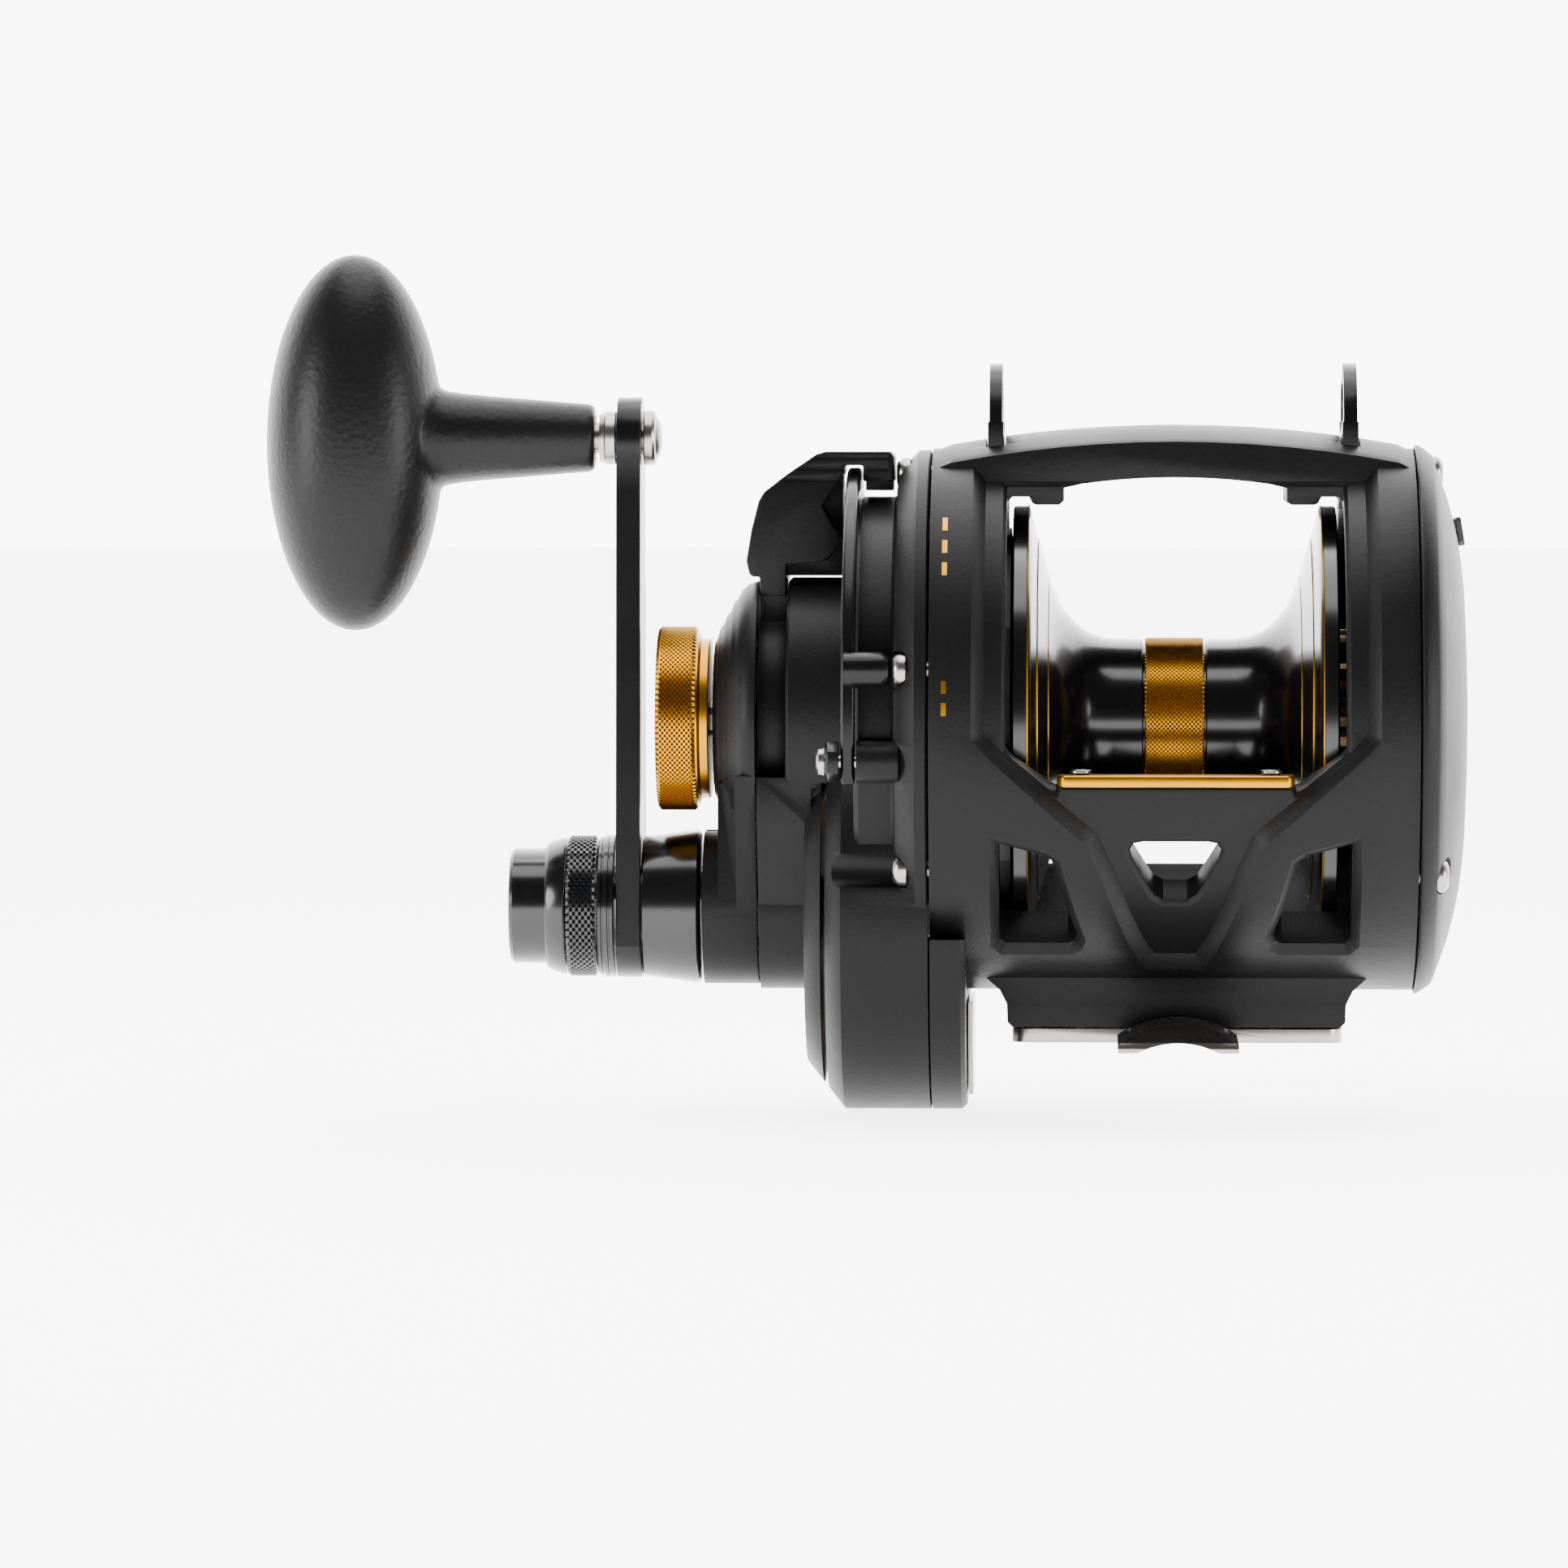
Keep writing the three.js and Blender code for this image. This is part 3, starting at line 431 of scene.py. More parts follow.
def makeWorld():
    # Bright behind and above, dim in front, so that faces towards the viewer stay dark.
    world = bpy.data.worlds.new("paleWorld")
    bpy.context.scene.world = world
    world.use_nodes = True
    nodes, links = world.node_tree.nodes, world.node_tree.links
    direction = nodes.new("ShaderNodeTexCoord")
    split = nodes.new("ShaderNodeSeparateXYZ")
    ramp = nodes.new("ShaderNodeMapRange")
    ramp.interpolation_type = "SMOOTHSTEP"
    ramp.inputs["From Min"].default_value = studio["dimFrom"]
    ramp.inputs["From Max"].default_value = studio["brightFrom"]
    ramp.inputs["To Min"].default_value = studio["dim"]
    ramp.inputs["To Max"].default_value = studio["bright"]
    links.new(direction.outputs["Generated"], split.inputs[0])
    links.new(split.outputs["Y"], ramp.inputs["Value"])
    links.new(ramp.outputs[0], nodes["Background"].inputs["Strength"])
    nodes["Background"].inputs["Color"].default_value = (1, 1, 1, 1)


def addLight(name, place, target, power, size):
    deselectAll()
    bpy.ops.object.light_add(type="AREA", location=Vector(place) * mm)
    light = bpy.context.object
    light.name = name
    light.data.energy = power
    light.data.shape = "DISK"
    light.data.size = size * mm
    light.rotation_euler = (Vector(target) * mm - light.location).to_track_quat("-Z", "Y").to_euler()


makeStudio()
print("studio set")


tube = {"radius": 43.9, "wall": 7.4, "left": -39.0, "right": 38.4, "chamfer": 1.4, "recess": 2.0,
        "slices": 120}
halfTurn = pi * tube["radius"] / 2
back = {"arch": 14, "barHigh": 9.5, "barLow": -11.5, "low": -30, "corner": 2.5, "half": 27}


def lengthAt(z):
    return tube["radius"] * asin(z / tube["radius"])


def grown(points, distance):
    # The outline moved outward all round, with its corners kept sharp.
    count = len(points)
    area = sum(points[i - 1][0] * points[i][1] - points[i][0] * points[i - 1][1] for i in range(count))
    side = 1 if area > 0 else -1
    normals = []
    for i in range(count):
        (u0, v0), (u1, v1) = points[i], points[(i + 1) % count]
        length = sqrt((u1 - u0) ** 2 + (v1 - v0) ** 2)
        normals.append((side * (v1 - v0) / length, -side * (u1 - u0) / length))
    result = []
    for i in range(count):
        (au, av), (bu, bv) = normals[i - 1], normals[i]
        reach = distance / (1 + au * bu + av * bv)
        result.append((points[i][0] + (au + bu) * reach, points[i][1] + (av + bv) * reach))
    return result


def flatCutter(points, surface, chamfer, low=-20, high=5):
    # Straight walls up to the chamfer, which widens to the surface and goes on straight above it.
    piece = platePiece("cutter", points, "z", low, surface - chamfer)
    wide = grown(points, chamfer)
    makeActive(piece)
    bpy.ops.object.mode_set(mode="EDIT")
    for step in (chamfer, high - surface):
        selectFacesAt(piece, 2, (surface - chamfer if step == chamfer else surface))
        bpy.ops.mesh.extrude_region_move(TRANSFORM_OT_translate={"value": (0, 0, step * mm)})
        bpy.ops.object.mode_set(mode="OBJECT")
        for vertex in piece.data.vertices:
            if vertex.co.z > (surface - chamfer / 2) * mm and step == chamfer:
                nearest = min(range(len(points)), key=lambda i: (points[i][0] * mm - vertex.co.x) ** 2
                              + (points[i][1] * mm - vertex.co.y) ** 2)
                vertex.co.x, vertex.co.y = wide[nearest][0] * mm, wide[nearest][1] * mm
        bpy.ops.object.mode_set(mode="EDIT")
    bpy.ops.object.mode_set(mode="OBJECT")
    return cleaned(piece)


def selectFacesAt(piece, axis, value):
    bpy.ops.mesh.select_mode(type="FACE")
    bpy.ops.mesh.select_all(action="DESELECT")
    bpy.ops.object.mode_set(mode="OBJECT")
    for face in piece.data.polygons:
        level = all(abs(piece.data.vertices[i].co[axis] - value * mm) < 0.01 * mm for i in face.vertices)
        face.select = level
    bpy.ops.object.mode_set(mode="EDIT")


def laidOut(outline):
    return [(x, lengthAt(z)) for x, z in outline]


def mirrored(points):
    return points + [(-x, z) for x, z in reversed(points)]


def makeFrame():
    piece = blockPiece("reelFrame", (-46, -halfTurn - 6, -tube["wall"]), (46, 3 * halfTurn + 6, 0))
    recess = [(-30.3, 40.6), (-30.3, -0.9), (-28.6, -2.9), (-12.4, -17.6), (-9.8, -23.6), (-4.2, -37.2),
              (-3.2, -38.6)]
    cutBy(piece, flatCutter(laidOut(mirrored(recess)), 0, tube["recess"], -tube["recess"] - 0.1))
    window = [(-26.9, 40.2), (-26.9, -3.6), (-26.1, -4.9), (-20.0, -10.3), (-18.9, -10.9), (-18.2, -9.7)]
    cutBy(piece, flatCutter(laidOut(mirrored(window)), -tube["recess"], 0.7))
    trapezoid = [(-5.2, -19.3), (-6.6, -19.6), (-7.2, -20.6), (-6.9, -21.9), (-3.4, -28.6), (-1.9, -29.6)]
    cutBy(piece, flatCutter(laidOut(mirrored(trapezoid)), -tube["recess"], 0.8))
    for hand in (-1, 1):
        low = [(28.0, -18.9), (21.0, -20.9), (19.6, -21.8), (15.6, -34.4), (16.0, -35.6), (17.0, -36.1),
               (27.0, -36.1), (28.0, -35.2)]
        cutBy(piece, flatCutter(laidOut([(hand * x, z) for x, z in low]), 0, tube["chamfer"]))
    # Behind: an upper and a lower window with a bar between them.
    radius = tube["radius"]
    archBack = radius * (pi - acos(back["arch"] / radius))
    barHigh, barLow, bottom = [radius * (pi - asin(back[edge] / radius))
                               for edge in ("barHigh", "barLow", "low")]
    for low, high in ((archBack, barHigh), (barLow, bottom)):
        points = roundedBox(-back["half"], back["half"], low, high, back["corner"])
        cutBy(piece, flatCutter(points, 0, tube["chamfer"]))
    sliceFlat(piece)
    rollUp(piece)
    return piece


def bisectAt(place, normal, **options):
    bpy.ops.mesh.select_all(action="SELECT")
    bpy.ops.mesh.bisect(plane_co=[c * mm for c in place], plane_no=normal, **options)


def sliceFlat(piece):
    makeActive(piece)
    bpy.ops.object.mode_set(mode="EDIT")
    bisectAt((tube["left"], 0, 0), (1, 0, 0), clear_inner=True, use_fill=True)
    bisectAt((tube["right"], 0, 0), (1, 0, 0), clear_outer=True, use_fill=True)
    bisectAt((0, -halfTurn, 0), (0, 1, 0), clear_inner=True)
    bisectAt((0, 3 * halfTurn, 0), (0, 1, 0), clear_outer=True)
    for cut in range(1, tube["slices"]):
        bisectAt((0, -halfTurn + 4 * halfTurn * cut / tube["slices"], 0), (0, 1, 0))
    bpy.ops.object.mode_set(mode="OBJECT")


def rollUp(piece):
    for vertex in piece.data.vertices:
        turn = vertex.co.y / mm / tube["radius"]
        reach = tube["radius"] * mm + vertex.co.z
        vertex.co = (vertex.co.x, -reach * cos(turn), spoolZ * mm + reach * sin(turn))
    cleaned(piece, 0.01)
    return holesFilled(piece)


def holesFilled(piece):
    makeActive(piece)
    bpy.ops.object.mode_set(mode="EDIT")
    bpy.ops.mesh.select_mode(type="VERT")
    bpy.ops.mesh.select_all(action="DESELECT")
    bpy.ops.mesh.select_non_manifold()
    bpy.ops.mesh.fill_holes(sides=12)
    bpy.ops.mesh.select_all(action="SELECT")
    bpy.ops.mesh.normals_make_consistent(inside=False)
    bpy.ops.object.mode_set(mode="OBJECT")
    return piece


def addArch(piece):
    crown = [(-38.6, 43.6)] + [(-36 + 6 * i, 47.8 - 3.2 * ((-36 + 6 * i) / 36) ** 2) for i in range(13)]
    crown += [(38.1, 43.6), (38.1, 38.0), (28, 38.0), (27.4, 36.6), (-27.4, 36.6), (-28, 38.0),
              (-38.6, 38.0)]
    arch = spunPiece("arch", crown, tube["slices"])
    cutBy(arch, blockPiece("keep", (-50, -16, spoolZ + 20), (50, 14, spoolZ + 70)), "INTERSECT")
    half = [(-26.9, 30), (-26.9, 35.4), (-26.2, 36.2), (-23.4, 36.2), (-22.9, 35.2), (-22.3, 34.9),
            (-18.6, 34.9), (-17.9, 35.5), (-17.9, 37.6)]
    middle = [(-15 + 3 * i, 39.3 - 1.5 * ((-15 + 3 * i) / 18) ** 2) for i in range(11)]
    under = half + middle + [(-x, z) for x, z in reversed(half)]
    joinTo(piece, arch)
    cutBy(piece, platePiece("cutter", under, "y", -24, 24, (0, spoolZ)))
    return piece


pedestal = {"left": -26.8, "right": 27.5, "half": 15.2, "bottom": -49.1, "screws": 19.5}


def addPedestal(piece):
    left, right, bottom = pedestal["left"], pedestal["right"], pedestal["bottom"]
    outline = [(left - 3.6, -41), (left - 1.2, -43.2), (left - 0.1, -45.4), (left, bottom + 0.8),
               (left + 0.8, bottom), (right - 0.8, bottom), (right, bottom + 0.8), (right + 0.1, -45.4),
               (right + 1.2, -43.2), (right + 3.6, -41), (right + 1.0, -38), (left - 1.0, -38)]
    half = pedestal["half"]
    stand = platePiece("pedestal", outline, "y", -half, half, (0, spoolZ))
    cutBy(stand, rodPiece("cutter", -40, 40, 39.5, 120))
    joinTo(piece, stand)
    return piece


reelFrame = makeFrame()
addArch(reelFrame)
addPedestal(reelFrame)
for lugLeft, lugRight in ((-30.4, -27.3), (26.6, 29.8)):
    cutBy(reelFrame, blockPiece("cutter", (lugLeft, -11.3, spoolZ + 39.6), (lugRight, 11.3, spoolZ + 60)))
cleaned(reelFrame, 0.01)
rounded(reelFrame, 0.35, 2, 32)
smoothed(reelFrame, 30)
placed(reelFrame, "frame", "moulded_black", mouldedBlack, "frame")
print("frame made")

# Plain index ticks where such a reel is marked.
mark = {"x": (-37.0, -36.2), "spans": ((24.0, 26.0), (27.5, 29.5), (31.0, 33.0), (2.0, 4.0), (5.5, 7.5))}


def makeMark(name, left, right, low, high):
    skin = tube["radius"] + 0.05
    profile = [(left, skin - 0.6), (left, skin), (right, skin), (right, skin - 0.6)]
    piece = spunPiece(name, profile, 240)
    keep = blockPiece("keep", (left - 1, -60, spoolZ + low), (right + 1, 0, spoolZ + high))
    cutBy(piece, keep, "INTERSECT")
    smoothed(piece)
    return placed(piece, "frame", "gold_anodised", goldAnodised)


for number, (markLow, markHigh) in enumerate(mark["spans"]):
    makeMark(f"indexTick{number}", *mark["x"], markLow, markHigh)
print("marks made")

foot = {"wingLow": -51.6, "wingHigh": -49.4, "wingLeft": -26, "wingRight": 27, "corner": 3.0, "middle": 0.5,
        "reach": 38, "toeHalf": 9.6, "toeCurve": 16.7, "saddle": 14, "screwHole": 3.1}


def makeFoot():
    low, high, reach = foot["wingLow"], foot["wingHigh"], foot["reach"]
    wing = pedestal["half"]
    middle, half = foot["middle"], foot["toeHalf"]
    outline = roundedBox(foot["wingLeft"], foot["wingRight"], -wing, wing, foot["corner"])
    piece = platePiece("footPlate", outline, "z", spoolZ + low, spoolZ + high)
    for side in (-1, 1):
        toe = [(14, low), (reach - 0.6, low), (reach, low + 0.7), (reach - 0.4, -50.0), (36, -49.4),
               (27, -47.0), (16.8, -45.5), (15.6, -45.4), (15.6, high), (14, high)]
        toe = [(side * y, z) for y, z in toe]
        bar = platePiece("toe", toe, "x", middle - half, middle + half, (0, spoolZ))
        cutBy(bar, lyingCylinder(foot["toeCurve"]), "INTERSECT")
        joinTo(piece, bar)
    cutBy(piece, lyingCylinder(foot["saddle"]))
    for x in (-pedestal["screws"], pedestal["screws"]):
        cutBy(piece, cylinderPiece("cutter", foot["screwHole"], 3, (x, 0, spoolZ + low - 0.3)))
    rounded(piece, 0.45, 3, 35)
    return smoothed(piece)


def lyingCylinder(radius):
    # Along Y, as a rod lies under the foot: the saddle's curve and the toes' outer curve share its line.
    place = (foot["middle"], 0, -foot["saddle"])
    return cylinderPiece("cutter", radius, 90, place, 120, (pi / 2, 0, 0))


placed(makeFoot(), "frame", "stainless", stainless, "foot")
print("foot made")


def screwAlongX(name, seat, tip, head, height, shank, y, z, material, slot, node, steps=40):
    facing = 1 if seat > tip else -1
    top = seat + facing * height
    profile = [(top - facing * 0.9, 0), (top - facing * 0.9, head * 0.32), (top, head * 0.36),
               (top, head * 0.55), (top - facing * 0.25, head * 0.78), (top - facing * 0.7, head * 0.93),
               (top - facing * 1.2, head), (seat, head), (seat, shank), (tip, shank), (tip, 0)]
    piece = spunPiece(name, profile, steps, y, z)
    smoothed(piece, 40)
    return placed(piece, "frame", slot, material, node)


screwRing = {"radius": 40.2, "gearTurns": (8, 77, 124.5, -77), "tailTurns": (6, 126, -114)}


def makeSideScrews():
    for number, turn in enumerate(screwRing["gearTurns"], 1):
        y, z = aroundSpool(screwRing["radius"], turn)
        screwAlongX(f"gearScrew{number}", -42.7, -33, 2.6, 2.2, 1.3, y, spoolZ + z, stainless, "stainless",
                    f"gear_screw_{number}")
    for number, turn in enumerate(screwRing["tailTurns"], 1):
        y, z = aroundSpool(screwRing["radius"], turn)
        screwAlongX(f"tailScrew{number}", 41.4, 32.5, 2.7, 1.9, 1.3, y, spoolZ + z, stainless, "stainless",
                    f"tail_screw_{number}")
    screwAlongX("bridgeScrew", -72.7, -67.6, 2.4, 0.9, 1.3, 0, spoolZ - 17.2, stainless, "stainless",
                "bridge_screw")


makeSideScrews()
print("screws made")


lug = {"top": 57.7, "half": 11, "step": 48.2, "relief": 0.2, "eyeHigh": 50.6, "eyeRadius": 4.2,
       "spread": 2.2}


def makeLug(name, left, right, node):
    shoulder = lug["top"] - lug["half"]
    outline = [(-lug["half"], 40), (lug["half"], 40)] + arcPoints(0, shoulder, lug["half"], 0, 180, 28)
    piece = platePiece(name, outline, "x", left, right, (0, spoolZ))
    eye = (arcPoints(lug["spread"], lug["eyeHigh"], lug["eyeRadius"], -90, 90, 14)
           + arcPoints(-lug["spread"], lug["eyeHigh"], lug["eyeRadius"], 90, 270, 14))
    cutBy(piece, platePiece("cutter", eye, "x", left - 1, right + 1, (0, spoolZ)))
    for low, high in ((left - 1, left + lug["relief"]), (right - lug["relief"], right + 1)):
        cutBy(piece, blockPiece("cutter", (low, -12, spoolZ + lug["step"]), (high, 12, spoolZ + 60)))
    rounded(piece, 0.45, 3, 40)
    smoothed(piece)
    return placed(piece, "frame", "gloss_black", satinBlack, node)


makeLug("harnessLugLeft", -30.1, -27.6, "harness_lug_left")
makeLug("harnessLugRight", 26.9, 29.5, "harness_lug_right")

guard = {"half": 18.7, "front": -43.4, "back": -37, "low": -9.3, "high": -7.4, "screws": 15, "screwY": -39.5}


def makeLineGuard():
    half, front = guard["half"], guard["front"]
    outline = [(-half, front + 1.2), (-half + 0.9, front), (half - 0.9, front), (half, front + 1.2),
               (half, guard["back"]), (-half, guard["back"])]
    piece = platePiece("lineGuard", outline, "z", spoolZ + guard["low"], spoolZ + guard["high"])
    rounded(piece, 0.4, 3, 35)
    smoothed(piece)
    placed(piece, "frame", "gold_anodised", goldAnodised, "line_guard")
    for hand, node in ((-1, "line_guard_screw_left"), (1, "line_guard_screw_right")):
        head = cylinderPiece(f"guardScrew{hand + 1}", 1.7, 0.7,
                             (hand * guard["screws"], guard["screwY"], spoolZ - 6.95))
        rounded(head, 0.25, 3, 40)
        for turn in (0, 60, 120):
            lobe = blockPiece("cutter", (-0.75, -0.42, -0.3), (0.75, 0.42, 0.5))
            lobe.rotation_euler = (0, 0, radians(turn))
            lobe.location = (hand * guard["screws"] * mm, guard["screwY"] * mm, (spoolZ - 6.6) * mm)
            cutBy(head, settle(lobe))
        smoothed(head)
        placed(head, "frame", "stainless", stainless, node)


makeLineGuard()
print("lugs and guard made")


tail = {"face": 38.7, "hollow": 38.2}


def makeTailPlate():
    face, hollow = tail["face"], tail["hollow"]
    profile = [(face, hollow), (face, 44.1), (39.0, 44.5), (39.5, 44.4), (41.2, 43.2), (41.6, 42.8),
               (42.7, 39.9), (44.0, 36.2), (45.0, 32.6), (45.8, 28.9), (46.4, 24.4), (46.8, 18),
               (47.0, 9.4), (47.2, 0), (45.1, 0), (44.9, 9.4), (44.1, 24.4), (42.7, 31.9), (40.4, hollow)]
    piece = spunPiece("tailPlate", profile, 160)
    for turn in screwRing["tailTurns"]:
        y, z = aroundSpool(screwRing["radius"], turn)
        cutBy(piece, rodPiece("cutter", 41.3, 50, 3.0, 40, y, spoolZ + z))
        cutBy(piece, rodPiece("cutter", 30, 42, 1.5, 24, y, spoolZ + z))
    joinTo(piece, spunPiece("boss", [(37, 6.7), (37, 8.6), (45.6, 8.6), (45.6, 6.7)], 48))
    cutBy(piece, blockPiece("cutter", (40, -3.1, spoolZ + 22.4), (50, 3.1, spoolZ + 33.0)))
    rounded(piece, 0.3, 2, 38)
    return smoothed(piece, 32)


placed(makeTailPlate(), "frame", "moulded_black", mouldedBlack, "tail_side_plate")
print("tail plate made")


quadrant = {"inner": 37.0, "outer": 40.8, "left": -52.9, "right": -50.7, "end": 103,
            "boltCircle": 39.2, "boltTurns": (98, -98), "postTurns": (77, -77)}
gearSide = {"ring": -44.6, "disc": -51.1, "hub": -62.4, "lever": -67.0, "case": -59.3, "caseRadius": 32.9}


def makeGearPlate():
    piece = spunPiece("gearPlate", [(-39.3, 30), (-39.3, 43.4), (-39.6, 43.7), (-41.3, 43.6), (-44.3, 40.6),
                                    (gearSide["ring"], 40.0), (gearSide["ring"], 36.6), (-45.2, 36.1),
                                    (-50.3, 36.1), (gearSide["disc"], 35.3), (gearSide["disc"], 30)], 160)
    disc = spunPiece("disc", [(gearSide["disc"], 0), (gearSide["disc"], 32), (-45, 32), (-45, 0)], 120)
    joinTo(piece, disc)
    hub = spunPiece("hub", [(gearSide["hub"], 0), (gearSide["hub"], 22.5), (-61.9, 23.0), (-45, 23.0),
                            (-45, 0)], 120)
    joinTo(piece, hub)
    radius = gearSide["caseRadius"]
    case = spunPiece("case", [(gearSide["case"], 0), (gearSide["case"], 25.2), (-53.2, radius),
                              (-39.3, radius), (-39.3, 0)], 160, 0, crankZ)
    joinTo(piece, case)
    housing = [(-20.5, -8.8), (20.5, -8.8), (20.5, -16), (13.4, -shaftDrop + 1), (-13.4, -shaftDrop + 1),
               (-20.5, -16)]
    joinTo(piece, platePiece("housing", housing, "x", gearSide["lever"], -58.3, (0, spoolZ)))
    joinTo(piece, rodPiece("boss", gearSide["lever"], -58.3, 13.4, 96, 0, crankZ))
    for turn in quadrant["boltTurns"]:
        y, z = aroundSpool(quadrant["boltCircle"], turn)
        joinTo(piece, rodPiece("post", -50.4, -43.8, 3.4, 48, y, spoolZ + z))
    hollowGearPlate(piece)
    cleaned(piece, 0.01)
    rounded(piece, 0.35, 2, 33)
    return smoothed(piece, 32)


def hollowGearPlate(piece):
    cuts = [(-68, gearSide["hub"], 18.4, spoolZ), (-63.4, -58.8, 14.8, spoolZ), (-70, -30, 5.6, spoolZ),
            (-56.8, -30, 10.3, spoolZ), (-49.6, -30, 33.6, spoolZ), (-49.6, -30, 29.6, crankZ),
            (-70, -30, 6.2, crankZ)]
    for low, high, radius, height in cuts:
        cutBy(piece, rodPiece("cutter", low, high, radius, 96, 0, height))
    well = rodPiece("well", -56.6, -48, 29.6, 96, 0, crankZ)
    cutBy(well, rodPiece("cutter", -60, -40, 13.0, 64))
    cutBy(piece, well)
    for turn in screwRing["gearTurns"]:
        y, z = aroundSpool(screwRing["radius"], turn)
        cutBy(piece, rodPiece("cutter", -60, -42.6, 3.0, 40, y, spoolZ + z))
        cutBy(piece, rodPiece("cutter", -45, -30, 1.5, 24, y, spoolZ + z))


placed(makeGearPlate(), "frame", "moulded_black", mouldedBlack, "gear_side_plate")
print("gear-side plate made")


def makeInnerCover():
    profile = [(-39.0, 0), (-39.0, 32.9), (-34.2, 32.9), (-33.4, 32.1), (-33.4, 0)]
    piece = spunPiece("innerCover", profile, 160, 0, crankZ)
    cutBy(piece, rodPiece("cutter", -45, -30, tube["radius"] + 0.4, 160))
    cutBy(piece, blockPiece("cutter", (-45, -50, spoolZ - 34), (-30, 50, spoolZ + 50)))
    rounded(piece, 0.4, 3, 35)
    return smoothed(piece)


placed(makeInnerCover(), "frame", "moulded_black", mouldedBlack, "inner_cover")


bridge = {"left": -74.5, "boss": -76.2, "right": -67.3}


def makeBridgeCover():
    profile = [(bridge["left"], 0), (bridge["left"], 12.4), (-74.2, 13.0), (-73.6, 14.9), (-73.2, 15.2),
               (-72.5, 16.9), (-72.0, 17.3), (-71.3, 19.1), (-70.8, 19.5), (-70.2, 20.8), (-69.0, 21.9),
               (bridge["right"], 22.4), (bridge["right"], 0)]
    piece = spunPiece("bridgeCover", profile, 128)
    joinTo(piece, rodPiece("boss", bridge["boss"], bridge["right"], 12.6, 96, 0, crankZ))
    wide = [(-20.6, -8.6), (20.6, -8.6), (12.6, -shaftDrop), (-12.6, -shaftDrop)]
    joinTo(piece, platePiece("wide", wide, "x", -70.6, bridge["right"], (0, spoolZ)))
    narrow = [(-13, -10), (13, -10), (12.4, -shaftDrop), (-12.4, -shaftDrop)]
    joinTo(piece, platePiece("narrow", narrow, "x", -73.6, bridge["right"], (0, spoolZ)))
    for low, high, radius, height in ((-80, -60, 5.2, 0), (-80, -60, 5.8, -shaftDrop),
                                      (-75.6, -60, 9.3, -shaftDrop), (-80, -72.5, 2.8, -17.2),
                                      (-80, -60, 1.5, -17.2)):
        cutBy(piece, rodPiece("cutter", low, high, radius, 64, 0, spoolZ + height))
    cleaned(piece, 0.01)
    rounded(piece, 0.3, 2, 35)
    return smoothed(piece, 32)


placed(makeBridgeCover(), "frame", "moulded_black", mouldedBlack, "bridge_cover")
print("bridge cover made")


def makeQuadrant():
    end = quadrant["end"]
    outline = (arcPoints(0, 0, quadrant["outer"], 90 - end, 90 + end, 96)
               + arcPoints(0, 0, quadrant["inner"], 90 + end, 90 - end, 96))
    piece = platePiece("leverQuadrant", outline, "x", quadrant["left"], quadrant["right"], (0, spoolZ))
    rounded(piece, 0.55, 3, 40)
    for turn in quadrant["postTurns"]:
        y, z = aroundSpool(screwRing["radius"], turn)
        post = spunPiece("post", [(-52.4, 0), (-52.4, 2.9), (-46.6, 2.9), (-45.4, 2.3), (-45.4, 0)], 48,
                         y, spoolZ + z)
        joinTo(piece, post)
    smoothed(piece, 35)
    placed(piece, "frame", "gloss_black", satinBlack, "lever_quadrant")
    for number, turn in enumerate(quadrant["boltTurns"], 1):
        y, z = aroundSpool(quadrant["boltCircle"], turn)
        washer = spunPiece(f"quadrantNut{number}", [(-53.2, 1.3), (-53.2, 3.3), (-54.9, 3.3), (-55.4, 2.8),
                                                    (-55.4, 1.3)], 6, y, spoolZ + z)
        rounded(washer, 0.2, 2, 30)
        smoothed(washer)
        placed(washer, "frame", "gloss_black", satinBlack)
        profile = [(-56.8, 0), (-56.8, 1.5), (-56.4, 2.1), (-55.5, 2.3), (-55.5, 1.1), (-42.5, 1.1),
                   (-42.5, 0)]
        bolt = spunPiece(f"quadrantBolt{number}", profile, 40, y, spoolZ + z)
        smoothed(bolt, 40)
        placed(bolt, "frame", "stainless", stainless, f"quadrant_bolt_{number}")


makeQuadrant()
print("quadrant made")


leverPiece = {"half": 8.2, "left": -67.0, "right": -62.7, "top": 43.4, "ridges": (42.5, 40.7, 38.9),
              "ridgeHalf": 0.35, "coreFront": -3, "coreBack": 7.9}


